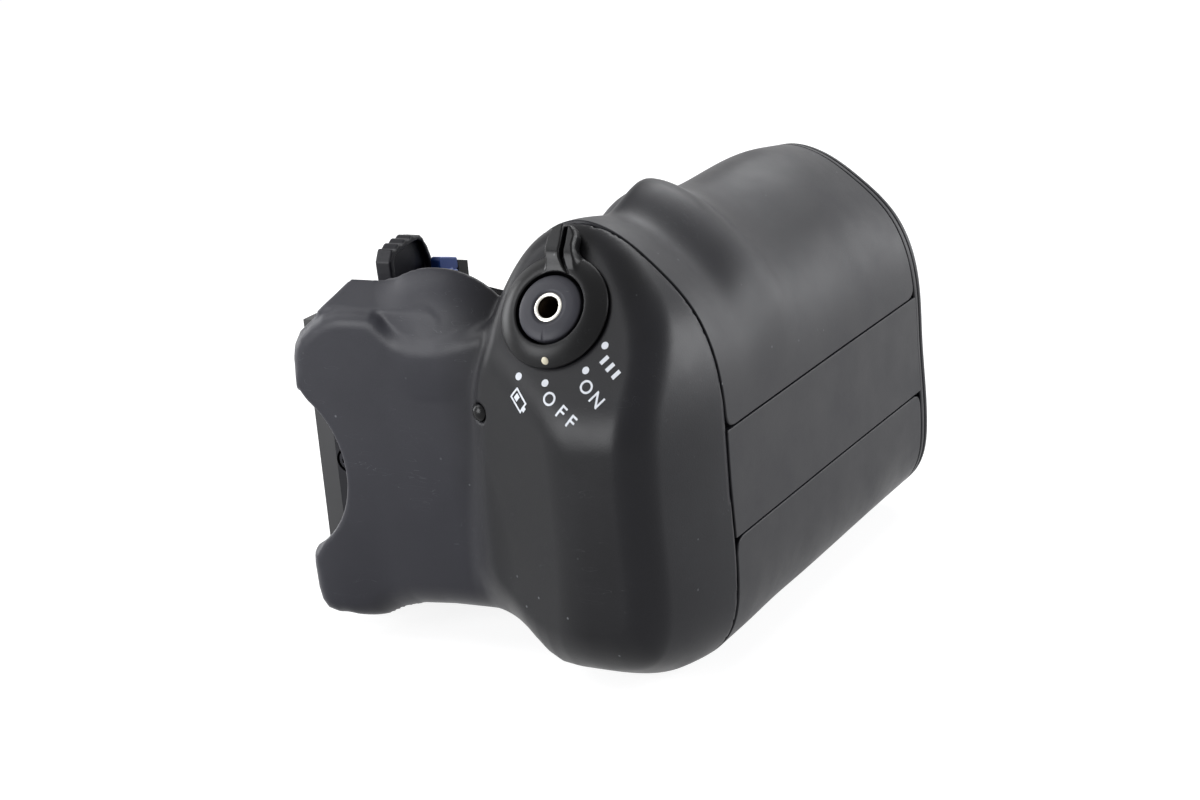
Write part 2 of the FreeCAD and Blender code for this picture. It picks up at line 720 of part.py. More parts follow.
def drive_housing(grip, slope):
    """Make the hollow housing behind the mounting plate, with its bridge to the handle."""
    low = ("plate_thick", "block_front_y", "block_bottom")
    block = box("block", low, ("block_right", "block_back_y", "block_top"))
    bridge = box("bridge", low, ("bridge_reach", "block_back_y", "bridge_top"))
    near, long = dim("key_y") + dim("key_long") + 0.4, dim("guard_long")
    top, root = dim("guard_top"), dim("slope_low")
    outline = ((near, root), (near, top), (near + long, top - dim("guard_fall")), (near + long, root))
    guard = formed("guard", prism(outline, dim("key_x") - 0.2, dim("key_width")))
    well = box("well", ("plate_thick - 1", "block_front_y - 1", "well_floor"),
               ("well_right", "block_back_y + 1", "block_top + 1"))
    inside = ("plate_thick - 1", "block_front_y + house_wall", "block_bottom - 1")
    low_room = box("low_room", inside,
                   ("block_right - house_wall", "block_back_y - house_wall", "well_floor - house_wall"))
    bay = rod("motor_bore", "motor_radius + 0.15", "60", ("block_right - 5", "motor_y", "motor_z"), "x")
    key_slot = box("key_slot", ("key_x + 0.7", "key_y + 1.2", "well_floor"),
                   ("key_x + 3.9", "key_y + 4.8", "block_top + 1"))
    bosses = []
    holes = []
    for index, (y, z) in enumerate(PLATE_SCREWS):
        bosses.append(rod("boss_%d" % index, "screw_head + 0.6", "12", ("plate_thick", str(y), str(z)), "x"))
        holes.append(rod("tap_%d" % index, "screw_radius", "9", ("plate_thick - 1", str(y), str(z)), "x"))
    middle = "plate_thick + 2.6"
    front_boss = rod("front_boss", "screw_head + 0.8", "8", (middle, "block_front_y + 0.5", "dial_z"), "y")
    front_tap = rod("front_tap", "screw_radius", "9", (middle, "block_front_y - 0.5", "dial_z"), "y")
    front_sink = rod("front_sink", "screw_head + 0.15", "2.5", (middle, "block_front_y - 1", "dial_z"), "y")
    head_room = box("head_room", ("grip_left - 0.5", "block_front_y - 5", "block_bottom - 5"),
                    ("bridge_reach + 5", "seam_y + 0.2", "block_top + 20"))
    stub = box("stub_trim", ("plate_thick - 1", "block_front_y - 1", "block_bottom - 5"),
               ("plate_thick", "block_back_y + 1", "block_top + 5"))
    shell = cut("housing_shell", fuse("housing_solid", block, bridge), low_room, well)
    full = fuse("housing_bossed", shell, *bosses, front_boss)
    open_shell = cut("housing_open", full, bay, key_slot, front_tap, front_sink, stub, head_room, grip, slope, *holes)
    node(fuse("drive_housing", open_shell, guard))
    node(screw("front_screw", (middle, "block_front_y + 0.1", "dial_z"), "y", "6"))
    cover = box("cover_slab", ("plate_thick", "block_front_y", "block_bottom - cover_thick"),
                ("bridge_reach", "block_back_y", "block_bottom"))
    screws = []
    holes = []
    corners = (("plate_thick + 3", "block_front_y + 1"), ("plate_thick + 3", "block_back_y - 1"),
               ("grip_left - 6", "block_front_y + 1"), ("grip_left - 6", "block_back_y - 1"))
    for index, (x, y) in enumerate(corners):
        spot = (x, y, "block_bottom - cover_thick")
        holes.append(rod("cover_hole_%d" % index, "screw_radius * 0.6", "cover_thick", spot, "z"))
        screws.append(rod("cover_screw_%d" % index, "screw_radius * 0.6", "cover_thick", spot, "z"))
    node(cut("drive_cover", cover, head_room, grip, *holes))
    node(group("cover_screws", *screws))


def mounting_plate(slope):
    """Make the plate that meets the camera, with its screws and locating pins."""
    plate = box("plate_slab", ("0", "block_front_y", "block_bottom"), ("plate_thick", "block_back_y", "block_top + 1"))
    holes = [rod("coupler_hole", "bush_radius", "10", ("0 - 1", "0", "0"), "x"),
             rod("lever_hole", "lever_shaft + run_play", "10", ("0 - 1", "lever_y", "lever_z"), "x"),
             rod("lock_recess", "lever_hub + 0.4", "2.2", ("0 - 1", "lever_y", "lever_z"), "x"), slope]
    screws = []
    for index, (y, z) in enumerate(PLATE_SCREWS):
        sink = rod("sink_%d" % index, "screw_head + 0.1", "1 + screw_head_thick + 0.2", ("0 - 1", str(y), str(z)), "x")
        holes += [sink, rod("clear_%d" % index, "screw_radius + 0.15", "10", ("0 - 1", str(y), str(z)), "x")]
        screws.append(screw("plate_screw_%d" % index, ("0.2", str(y), str(z)), "x", "9"))
    pins = []
    for index, (y, z) in enumerate(LOCATORS):
        holes.append(rod("pin_hole_%d" % index, "locator_root", "10", ("0 - 1", str(y), str(z)), "x"))
        holes.append(rod("pin_relief_%d" % index, "locator_radius + 0.3", "1.5", ("0 - 1", str(y), str(z)), "x"))
        pins.append(fuse("locator_%d" % index,
                         rod("pin_tip_%d" % index, "locator_radius", "locator_reach",
                             ("0 - locator_reach", str(y), str(z)), "x"),
                         rod("pin_root_%d" % index, "locator_root", "plate_thick", ("0", str(y), str(z)), "x")))
    holes.append(box("contact_window", ("0 - 1", "block_front_y + 2", "block_top - 9"),
                     ("plate_thick + 1", "block_front_y + 18", "block_top - 3")))
    node(cut("mounting_plate", plate, *holes))
    node(group("plate_screws", *screws))
    node(group("locating_pins", *pins))
    bush = cut("coupler_bush", rod("bush_solid", "bush_radius", "plate_thick - 0.9", ("0.9", "0", "0"), "x"),
               rod("bush_bore", "coupler_shaft + 0.05", "10", ("0 - 1", "0", "0"), "x"))
    node(bush)
    block = box("contact_solid", ("0.4", "block_front_y + 2", "block_top - 9"),
                ("plate_thick", "block_front_y + 18", "block_top - 3"))
    bores = []
    contacts = []
    for index in range(5):
        y = "block_front_y + 10 + %d * contact_pitch" % (index - 2)
        start = ("0 - contact_reach", y, "block_top - 6")
        bores.append(rod("contact_bore_%d" % index, "contact_radius + run_play", "10", start, "x"))
        length = "contact_reach + plate_thick - contact_travel - 0.4"
        contacts.append(rod("contact_%d" % index, "contact_radius", length, start, "x"))
    node(cut("contact_block", block, *bores))
    node(group("contact_pins", *contacts))


def gear_face(teeth, phase):
    """Draw a stub-toothed gear in the plane x = 0, with the middle of a tooth at the phase angle."""
    module = dim("gear_module")
    pitch = module * teeth / 2
    tip = pitch + 0.75 * module
    root = pitch - 1.05 * module
    step = 2 * math.pi / teeth
    points = []
    for index in range(int(teeth)):
        middle = phase + index * step
        for radius, share in ((root, -0.29), (tip, -0.11), (tip, 0.11), (root, 0.29)):
            angle = middle + share * step
            points.append(Vector(0, radius * math.cos(angle), radius * math.sin(angle)))
    return Part.Face(Part.makePolygon(points + points[:1]))


def gear(teeth, phase, x, width):
    """Give a gear's solid about the x axis."""
    solid = gear_face(teeth, phase).extrude(Vector(width, 0, 0))
    solid.translate(Vector(x, 0, 0))
    return solid


def mesh_distance(first, second):
    """Distance between the axes of two gears in mesh."""
    return dim("gear_module") * (dim(first) + dim(second)) / 2 + dim("mesh_play")


def idler_axis():
    """Place the idler where it meets both the pinion and the coupler gear."""
    to_motor = math.hypot(dim("motor_y"), dim("motor_z"))
    near = mesh_distance("coupler_teeth", "idler_small_teeth")
    far = mesh_distance("idler_teeth", "pinion_teeth")
    along = (near ** 2 - far ** 2 + to_motor ** 2) / (2 * to_motor)
    aside = math.sqrt(near ** 2 - along ** 2)
    unit = (dim("motor_y") / to_motor, dim("motor_z") / to_motor)
    return Vector(0, unit[0] * along - unit[1] * aside, unit[1] * along + unit[0] * aside)


def drive_train():
    """Make the motor, its pinion, the idler, the coupler gear and the coupling itself."""
    idler = idler_axis()
    motor = Vector(0, dim("motor_y"), dim("motor_z"))
    to_idler = math.atan2(idler.z, idler.y)
    to_motor = math.atan2(motor.z - idler.z, motor.y - idler.y)
    width = dim("gear_width")
    first = dim("coupler_gear_x")
    second = first + width + dim("gear_gap")
    face = dim("gear_plate_x")
    bore = Part.makeCylinder(dim("coupler_shaft"), 60, Vector(-30, 0, 0), Vector(1, 0, 0))
    coupler = gear(dim("coupler_teeth"), to_idler, first, width).cut(bore)
    node(formed("coupler_gear", coupler))
    shaft = rod("coupler_rod", "coupler_shaft", "gear_plate_x", ("0 - 0.3", "0", "0"), "x")
    head = rod("coupler_disc", "coupler_head", "coupler_reach", ("0 - coupler_reach", "0", "0"), "x")
    neck = rod("coupler_neck", "coupler_head - 0.4", "1.6", ("0 - 1", "0", "0"), "x")
    slot = box("coupler_slot", ("0 - coupler_reach - 1", "0 - coupler_head - 1", "0 - 1"),
               ("1.6 - coupler_reach", "coupler_head + 1", "1"))
    node(cut("drive_coupler", fuse("coupler_solid", shaft, neck, head), slot))
    hole = Part.makeCylinder(dim("pin_radius") + 0.05, 60, Vector(-30, 0, 0), Vector(1, 0, 0))
    half_step = math.pi / dim("idler_small_teeth")
    small = gear(dim("idler_small_teeth"), to_idler + math.pi + half_step, first, width + dim("gear_gap"))
    large = gear(dim("idler_teeth"), to_motor, second, width)
    node(formed("idler_gear", small.fuse(large).cut(hole), Placement(idler, Rotation())))
    start = dim("plate_thick")
    axle = Part.makeCylinder(dim("pin_radius"), face + 1 - start, Vector(start, 0, 0), Vector(1, 0, 0))
    node(formed("idler_axle", axle, Placement(idler, Rotation())))
    shaft_hole = Part.makeCylinder(dim("motor_shaft"), 60, Vector(-30, 0, 0), Vector(1, 0, 0))
    half_step = math.pi / dim("pinion_teeth")
    pinion = gear(dim("pinion_teeth"), to_motor + math.pi + half_step, second, width).cut(shaft_hole)
    node(formed("motor_pinion", pinion, Placement(motor, Rotation())))
    back = face + dim("gear_plate_thick")
    node(rod("motor_shaft_rod", "motor_shaft", "gear_plate_x + gear_plate_thick + 3 - coupler_gear_x - gear_width",
             ("coupler_gear_x + gear_width", "motor_y", "motor_z"), "x"))
    plate = box("gear_slab", ("gear_plate_x", "block_front_y + house_wall + 0.2", "block_bottom + 1"),
                ("gear_plate_x + gear_plate_thick", "block_back_y - house_wall - 0.2", "well_floor - house_wall - 3"))
    holes = [rod("shaft_pass", "motor_shaft + 0.3", "10", ("gear_plate_x - 2", "motor_y", "motor_z"), "x"),
             rod("coupler_seat", "coupler_shaft + 0.05", "10", ("gear_plate_x - 2", "0", "0"), "x"),
             formed("axle_seat", Part.makeCylinder(dim("pin_radius"), 9, Vector(face - 2, 0, 0), Vector(1, 0, 0)),
                    Placement(idler, Rotation()))]
    for index, (y, z) in enumerate(PLATE_SCREWS):
        holes.append(rod("plate_pass_%d" % index, "screw_head + 0.8", "10", ("gear_plate_x - 2", str(y), str(z)), "x"))
    node(cut("gear_plate", plate, *holes))
    can = Part.makeCylinder(dim("motor_radius"), dim("motor_length"), Vector(back, 0, 0), Vector(1, 0, 0))
    bell = Part.makeCylinder(3.0, 2.0, Vector(back + dim("motor_length"), 0, 0), Vector(1, 0, 0))
    well = Part.makeCylinder(dim("motor_shaft") + 0.3, 4.0, Vector(back - 1, 0, 0), Vector(1, 0, 0))
    node(formed("motor", can.fuse(bell).cut(well), Placement(motor, Rotation())))


def lock_lever():
    """Make the ridged lever that locks the grip to the camera, with its shaft and key."""
    x = dim("lever_x")
    thick = dim("lever_thick")
    y = dim("lever_y")
    z = dim("lever_z")
    front = y - dim("lever_front")
    tip = dim("lever_tip")
    rise = tip - z
    spots = [Vector(x, front + 1.2, z + 0.25 * rise), Vector(x, front, z + 0.62 * rise),
             Vector(x, front + 0.3, tip - 1.6), Vector(x, front + 2.4, tip - 0.3)]
    for index in range(4):
        start = front + 2.6 + index * 2.4
        spots += [Vector(x, start, tip + 0.15), Vector(x, start + 1.5, tip + 0.2), Vector(x, start + 1.9, tip - 0.35)]
    spots += [Vector(x, y + 6.6, tip - 1.2), Vector(x, y + 8.0, tip - 3.0), Vector(x, y + 8.4, z + 0.5 * rise),
              Vector(x, y + 6.8, z + 0.25 * rise)]
    blade = Part.Face(Part.makePolygon(spots + spots[:1])).extrude(Vector(thick, 0, 0))
    hub = Part.makeCylinder(dim("lever_hub"), thick, Vector(x, y, z), Vector(1, 0, 0))
    neck = Part.makeBox(thick, 8.0, 0.3 * rise, Vector(x, y - 4.0, z))
    recess = Part.makeBox(1.4, 10.5, 0.45 * rise, Vector(x + thick - 1.4, y - 4.2, z + 0.3 * rise))
    bore = Part.makeCylinder(dim("lever_shaft"), 60, Vector(-30, y, z), Vector(1, 0, 0))
    node(formed("lock_lever", blade.fuse(hub).fuse(neck).cut(recess).cut(bore).removeSplitter()))
    shaft = rod("lock_rod", "lever_shaft", "lever_x + lever_thick + 0.2", ("0 - 0.3", "lever_y", "lever_z"), "x")
    key = box("lock_bit", ("0 - 2.4", "lever_y - 1.4", "lever_z - lever_hub"),
              ("0 - 0.3", "lever_y + 1.4", "lever_z + lever_hub"))
    node(fuse("lock_shaft", shaft, key))


def lock_key():
    """Make the blue key that frees the lever, and its spring."""
    y, long = dim("key_y"), dim("key_long")
    low, top = dim("block_top") + 0.4 + dim("key_travel"), dim("key_top")
    outline = ((y, low), (y, top - 0.6), (y + 0.6, top), (y + long, top - dim("key_fall")), (y + long, low))
    head = formed("key_head", prism(outline, dim("key_x"), dim("key_width")))
    stem = box("key_stem_bar", ("key_x + 1.0", "key_y + 1.5", "key_stem"),
               ("key_x + 3.6", "key_y + 4.5", "block_top + 0.9 + key_travel"))
    node(fuse("release_key", head, stem))
    wire = 0.25
    top = dim("key_stem") - 0.1
    bottom = dim("well_floor")
    coil = 1.1
    helix = Part.makeHelix((top - bottom) / 5.0, top - bottom - 2 * wire, coil)
    section = wire_section(wire, coil)
    spring = Part.Wire(helix.Edges).makePipeShell([section], True, True)
    spring.translate(Vector(0, 0, wire))
    spot = Vector(dim("key_x") + 2.3, dim("key_y") + 3.0, bottom)
    node(formed("key_spring", spring, Placement(spot, Rotation())))


def magazine():
    """Make the battery tray, its cells and contacts, and the terminals that it meets."""
    radius = dim("cell_radius")
    pitch = dim("cell_pitch")
    low = "cell_radius + tray_wall"
    less = low.replace("+", "-")
    tray = box("tray_block", ("cell_x - %s" % less, "tray_y", "cell_z - cell_pitch - %s" % less),
               ("cell_x + cell_pitch + %s" % low, "end_y - 1.0", "cell_z + cell_pitch + %s" % low))
    rooms = []
    cells = []
    plates = []
    for side in range(2):
        for row in (-1, 0, 1):
            tag = "%d_%d" % (side, row + 1)
            x = "cell_x + %d * cell_pitch" % side
            z = "cell_z + %d * cell_pitch" % row
            rooms.append(rod("room_" + tag, "cell_radius + 0.15", "cell_length + 2", (x, "cell_y - 1", z), "y"))
            reach = ("0 - 20", "0") if side == 0 else ("0", "20")
            rooms.append(box("mouth_" + tag, (x + " + " + reach[0], "cell_y + 2", z + " - cell_radius * 0.7"),
                             (x + " + " + reach[1], "cell_y + cell_length - 4", z + " + cell_radius * 0.7")))
            can = rod("can_" + tag, "cell_radius", "cell_length - 1", (x, "cell_y", z), "y")
            nub = rod("nub_" + tag, "2.7", "1", (x, "cell_y + cell_length - 1", z), "y")
            cells.append(fuse("cell_" + tag, can, nub))
            plates.append(rod("contact_plate_" + tag, "4.0", "0.8", (x, "cell_y + cell_length + 0.1", z), "y"))
    node(cut("battery_magazine", tray, *rooms))
    node(group("aa_cells", *cells))
    node(group("cell_contacts", *plates))
    rail = box("terminal_rail", ("cell_x - 4", "tray_y - 4.5", "cell_z - cell_pitch"),
               ("cell_x + cell_pitch + 4", "tray_y - 2.4", "cell_z + cell_pitch"))
    side_posts = box("terminal_post", ("grip_left + skin + case_wall + 0.1", "tray_y - 4.5", "cell_z - 4"),
                     ("cell_x - 3", "tray_y - 2.4", "cell_z + 4"))
    node(fuse("terminal_block", rail, side_posts))
    studs = []
    for index in range(2):
        spot = ("cell_x + %d * cell_pitch" % index, "tray_y - 2.4", "cell_z")
        studs.append(rod("terminal_%d" % index, "1.5", "2.1", spot, "y"))
    node(group("terminals", *studs))


def end_cap():
    """Make the battery end cap with its turn lock."""
    end = dim("end_y")
    left = dim("grip_left")
    right = value_of(GRIP_RIGHT) + dim("grip_flare")
    rear = dim("grip_rear") + dim("grip_flare")
    front = dim("end_front")
    start = end + dim("seam_gap")
    edge = end + dim("cap_depth")
    dome = edge + dim("cap_dome")
    low_rim = outline_wire(start, left, right, rear, front)
    high_rim = outline_wire(edge, left, right, rear, front)
    crown = outline_wire(dome, left, right, rear, front, dim("cap_bevel"))
    side = Part.makeLoft([low_rim, high_rim], True, True)
    top = Part.makeLoft([high_rim, crown], True, True)
    cap = formed("cap_solid", side.fuse(top))
    middle = "cell_x + cell_pitch * 0.5"
    face = "end_y + cap_depth + cap_dome"
    pocket = rod("knob_pocket", "knob_radius + 0.3", "10", (middle, face + " - knob_thick", "cell_z"), "y")
    bore = rod("knob_bore", "knob_post + run_play", "20", (middle, "end_y - 5", "cell_z"), "y")
    foot = box("cap_foot", ("cell_x - 5", "end_y - 1.0", "cell_z - cell_pitch"),
               ("cell_x + cell_pitch + 5", "end_y + seam_gap", "cell_z + cell_pitch"))
    node(cut("end_cap", fuse("cap_joined", cap, foot), pocket, bore))
    disc = rod("knob_disc", "knob_radius", "knob_thick - 0.3", (middle, face + " - knob_thick + 0.2", "cell_z"), "y")
    post = rod("knob_rod", "knob_post", "cap_depth + cap_dome + 0.9", (middle, "end_y - 0.8", "cell_z"), "y")
    slot = box("coin_slot", (middle + " - knob_radius * 0.8", face + " - 0.9", "cell_z - 0.9"),
               (middle + " + knob_radius * 0.8", "end_y + 20", "cell_z + 0.9"))
    node(cut("lock_knob", fuse("knob_solid", disc, post), slot))


def main():
    """Build every sub-part, check it and write it out."""
    grip = handle_shells()
    head_cover()
    lamp()
    release()
    selector()
    switch()
    arm_plate()
    slope = back_slope()
    drive_housing(grip, slope)
    mounting_plate(slope)
    drive_train()
    lock_lever()
    lock_key()
    magazine()
    end_cap()
    doc.recompute()
    failed = [item.Name for item in doc.Objects if "Invalid" in item.State or "Error" in item.State]
    if failed:
        raise RuntimeError("failed objects: %s" % ", ".join(failed))
    for piece in nodes:
        if piece.Shape.isNull() or not piece.Shape.isValid() or not piece.Shape.Solids:
            raise RuntimeError("%s has no valid solid" % piece.Name)
    os.makedirs("parts", exist_ok=True)
    for piece in nodes:
        piece.Shape.exportStep("parts/%s.step" % piece.Label)
        print(piece.Label, len(piece.Shape.Solids), round(piece.Shape.Volume, 1))


main()
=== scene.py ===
import math

import bmesh
import bpy
import numpy as np
from mathutils import Matrix, Vector


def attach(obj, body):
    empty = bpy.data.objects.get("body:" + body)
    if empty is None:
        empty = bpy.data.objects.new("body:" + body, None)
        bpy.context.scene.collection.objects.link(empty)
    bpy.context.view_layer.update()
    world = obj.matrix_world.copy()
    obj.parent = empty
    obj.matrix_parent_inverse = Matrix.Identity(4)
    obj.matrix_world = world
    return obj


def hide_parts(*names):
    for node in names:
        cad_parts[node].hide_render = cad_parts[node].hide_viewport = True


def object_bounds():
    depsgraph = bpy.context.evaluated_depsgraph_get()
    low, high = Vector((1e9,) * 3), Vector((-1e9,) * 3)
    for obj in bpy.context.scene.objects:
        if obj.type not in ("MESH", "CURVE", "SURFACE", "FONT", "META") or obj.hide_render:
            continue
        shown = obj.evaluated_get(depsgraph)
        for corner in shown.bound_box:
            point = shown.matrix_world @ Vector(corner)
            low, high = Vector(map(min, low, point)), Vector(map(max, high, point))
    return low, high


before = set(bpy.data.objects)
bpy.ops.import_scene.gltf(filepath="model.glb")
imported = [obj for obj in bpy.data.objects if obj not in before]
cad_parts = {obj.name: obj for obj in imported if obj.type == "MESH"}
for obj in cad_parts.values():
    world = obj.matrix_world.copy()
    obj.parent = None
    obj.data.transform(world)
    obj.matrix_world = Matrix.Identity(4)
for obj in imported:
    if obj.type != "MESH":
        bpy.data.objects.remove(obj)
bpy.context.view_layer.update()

# Power winder grip: moulded black shells over a battery handle, a tilted release and a motor drive.
# Sizes in this script are millimetres of the part, turned to metres where a mesh is made.

MM = 0.001


def soft_step(low, high, value):
    """Rise smoothly from 0 to 1 between two values."""
    w = np.clip((value - low) / (high - low), 0, 1)
    return w * w * (3 - 2 * w)


# The handle's outline, in shares of its width and depth.
OUTLINE = (
    (0.99, 0.46), (0.970, 0.69), (0.884, 0.812), (0.70, 0.917), (0.53, 0.98), (0.36, 1.0),
    (0.20, 0.965), (0.07, 0.86), (0.01, 0.68), (0.0, 0.45), (0.0, 0.2), (0.03, 0.07),
    (0.14, 0.01), (0.45, 0.0), (0.78, 0.016), (0.935, 0.085), (0.995, 0.22),
)
# Height of the finger side along the handle: a groove for the first finger and a ridge before the next.
FRONT_LINE = (
    (-30.0, 48.6), (-20.0, 48.4), (-12.5, 47.4), (-7.2, 46.9), (-2.0, 48.6), (3.6, 50.1), (8.7, 49.5),
    (12.7, 47.4), (18.8, 45.3), (28.8, 44.3), (44.5, 44.6), (57.1, 44.4), (68.4, 42.9), (80.0, 41.3),
)
GRIP_LEFT = 45.0
GRIP_RIGHT = 89.3
GRIP_REAR = -37.0
GRIP_FLARE = 1.2
SEAM_Y = -20.0
END_Y = 72.0
END_RIM = 1.6
BAND_TOP = 10.3
BAND_BOTTOM = -10.5
GAP = 0.3
SKIN = 2.0
CASE_DEPTH = 3.6
COVER_CORNER = 3.0
COVER_ROLL = 0.28
BAND_CORNER = 0.3
BAND_ROLL = 0.22
# Width and depth that the outline was drawn at, and the middle that its radii are counted from.
OUTLINE_SPAN = np.array([44.3, 85.4])
OUTLINE_MIDDLE = np.array([0.5, 0.48])
GRIP_MIDDLE = np.array([GRIP_LEFT + 22.0, 0.0, 4.0])
ACROSS = np.array([1, 0, 1])


def closed_spline(points):
    """Fit a smooth closed curve through points; give its knots, points, slopes and gaps."""
    p = np.array(points, float)
    n = len(p)
    gaps = np.linalg.norm((np.roll(p, -1, 0) - p) * OUTLINE_SPAN, axis=1)
    matrix = np.zeros((n, n))
    right = np.zeros((n, 2))
    for i in range(n):
        j, before, after = (i + 1) % n, gaps[i - 1], gaps[i]
        matrix[i, [i - 1, i, j]] = after, 2 * (before + after), before
        right[i] = 3 * (after * (p[i] - p[i - 1]) / before + before * (p[j] - p[i]) / after)
    return np.concatenate([[0], np.cumsum(gaps)]), p, np.linalg.solve(matrix, right), gaps


SPLINE = closed_spline(OUTLINE)


def outline_at(t):
    """Give the outline's (u, v) at shares t of its length."""
    knots, p, slopes, gaps = SPLINE
    s = np.mod(np.asarray(t, float), 1.0) * knots[-1]
    i = np.clip(np.searchsorted(knots, s, side="right") - 1, 0, len(p) - 1)
    h = gaps[i]
    w = ((s - knots[i]) / h)[..., None]
    a, b = p[i], p[(i + 1) % len(p)]
    da, db = slopes[i] * h[..., None], slopes[(i + 1) % len(p)] * h[..., None]
    return a * (1 + 2 * w) * (1 - w) ** 2 + da * w * (1 - w) ** 2 + b * w * w * (3 - 2 * w) - db * w * w * (1 - w)


def open_spline(points):
    """Fit a natural cubic through (place, height) points and give it as a function."""
    x, y = np.array(points, float).T
    h = np.diff(x)
    n = len(x)
    matrix = np.eye(n)
    right = np.zeros(n)
    for i in range(1, n - 1):
        matrix[i, i - 1:i + 2] = h[i - 1], 2 * (h[i - 1] + h[i]), h[i]
        right[i] = 6 * ((y[i + 1] - y[i]) / h[i] - (y[i] - y[i - 1]) / h[i - 1])
    bend = np.linalg.solve(matrix, right)

    def height(q):
        q = np.clip(np.asarray(q, float), x[0], x[-1])
        i = np.clip(np.searchsorted(x, q) - 1, 0, n - 2)
        a, b = x[i + 1] - q, q - x[i]
        return (bend[i] * a ** 3 + bend[i + 1] * b ** 3) / (6 * h[i]) + (y[i] / h[i] - bend[i] * h[i] / 6) * a \
            + (y[i + 1] / h[i] - bend[i + 1] * h[i] / 6) * b

    return height


front_height = open_spline(FRONT_LINE)
# The hollow for the first finger, beside the ridge on the camera side.
DENT_Y = 0.3
DENT_REACH = 8.6
DENT_DEPTH = 4.3
DENT_SIDE = (62.6, 56.2)
DENT_RISE = (0.5, 0.9)


def grip_frame(y):
    """Left side, width, rear side and depth of the handle's outline at y."""
    share = np.clip((y - SEAM_Y) / (END_Y - SEAM_Y), 0, 1)
    right = GRIP_RIGHT + 0.7 * share ** 2
    rear = GRIP_REAR + GRIP_FLARE * share
    return GRIP_LEFT, right - GRIP_LEFT, rear, front_height(y) - rear


def grip_point(t, y):
    """Points on the handle's surface at outline share t and length y."""
    t, y = np.broadcast_arrays(np.asarray(t, float), np.asarray(y, float))
    u, v = np.moveaxis(outline_at(t), -1, 0)
    left, wide, rear, deep = grip_frame(y)
    x = left + wide * u
    dent = DENT_DEPTH * np.exp(-((y - DENT_Y) / DENT_REACH) ** 2)
    dent = dent * soft_step(*DENT_SIDE, x) * soft_step(*DENT_RISE, v)
    return np.stack([x, y, rear + deep * v - dent], -1)


def grip_normal(t, y):
    """Outward normals of the handle's surface."""
    t, y = np.asarray(t, float), np.asarray(y, float)
    along = grip_point(t + 1e-4, y) - grip_point(t - 1e-4, y)
    down = grip_point(t, y + 0.01) - grip_point(t, y - 0.01)
    n = np.cross(along, down)
    n /= np.linalg.norm(n, axis=-1, keepdims=True)
    flat = (grip_point(t, y) - GRIP_MIDDLE) * ACROSS
    return np.where((np.sum(n * flat, -1) < 0)[..., None], -n, n)


def inset_row(t, y, inset):
    """Row of points round the handle at length y, drawn in level from its surface."""
    return grip_point(t, y) - grip_normal(t, y) * ACROSS * inset


# Meshes and objects.
def linked(name, data):
    """Make an object of some data and put it in the scene."""
    piece = bpy.data.objects.new(name, data)
    bpy.context.scene.collection.objects.link(piece)
    return piece


def baked(piece):
    """Give an object's final mesh and drop the object."""
    mesh = bpy.data.meshes.new_from_object(piece.evaluated_get(bpy.context.evaluated_depsgraph_get()))
    bpy.data.objects.remove(piece)
    return mesh


def new_piece(name, points, faces):
    """Make a smooth object from points in millimetres, with doubles merged and its faces turned outwards."""
    mesh = bpy.data.meshes.new(name)
    mesh.from_pydata((np.asarray(points, float) * MM).tolist(), [], [tuple(int(i) for i in f) for f in faces])
    mesh.polygons.foreach_set("use_smooth", [True] * len(mesh.polygons))
    work = bmesh.new()
    work.from_mesh(mesh)
    bmesh.ops.remove_doubles(work, verts=work.verts, dist=1e-6)
    bmesh.ops.recalc_face_normals(work, faces=work.faces)
    work.to_mesh(mesh)
    work.free()
    return linked(name, mesh)


def joined(name, *pieces):
    """Join several objects into one."""
    work = bmesh.new()
    for piece in pieces:
        work.from_mesh(piece.data)
        bpy.data.objects.remove(piece)
    mesh = bpy.data.meshes.new(name)
    work.to_mesh(mesh)
    work.free()
    return linked(name, mesh)


def grid_faces(rows, columns, closed=False, wrapped=False):
    """Faces of a grid of points stored row after row, each row closed and the last joined to the first if asked."""
    out = []
    for r in range(rows if wrapped else rows - 1):
        low, high = r * columns, (r + 1) % rows * columns
        for c in range(columns if closed else columns - 1):
            d = (c + 1) % columns
            out.append((low + c, low + d, high + d, high + c))
    return out


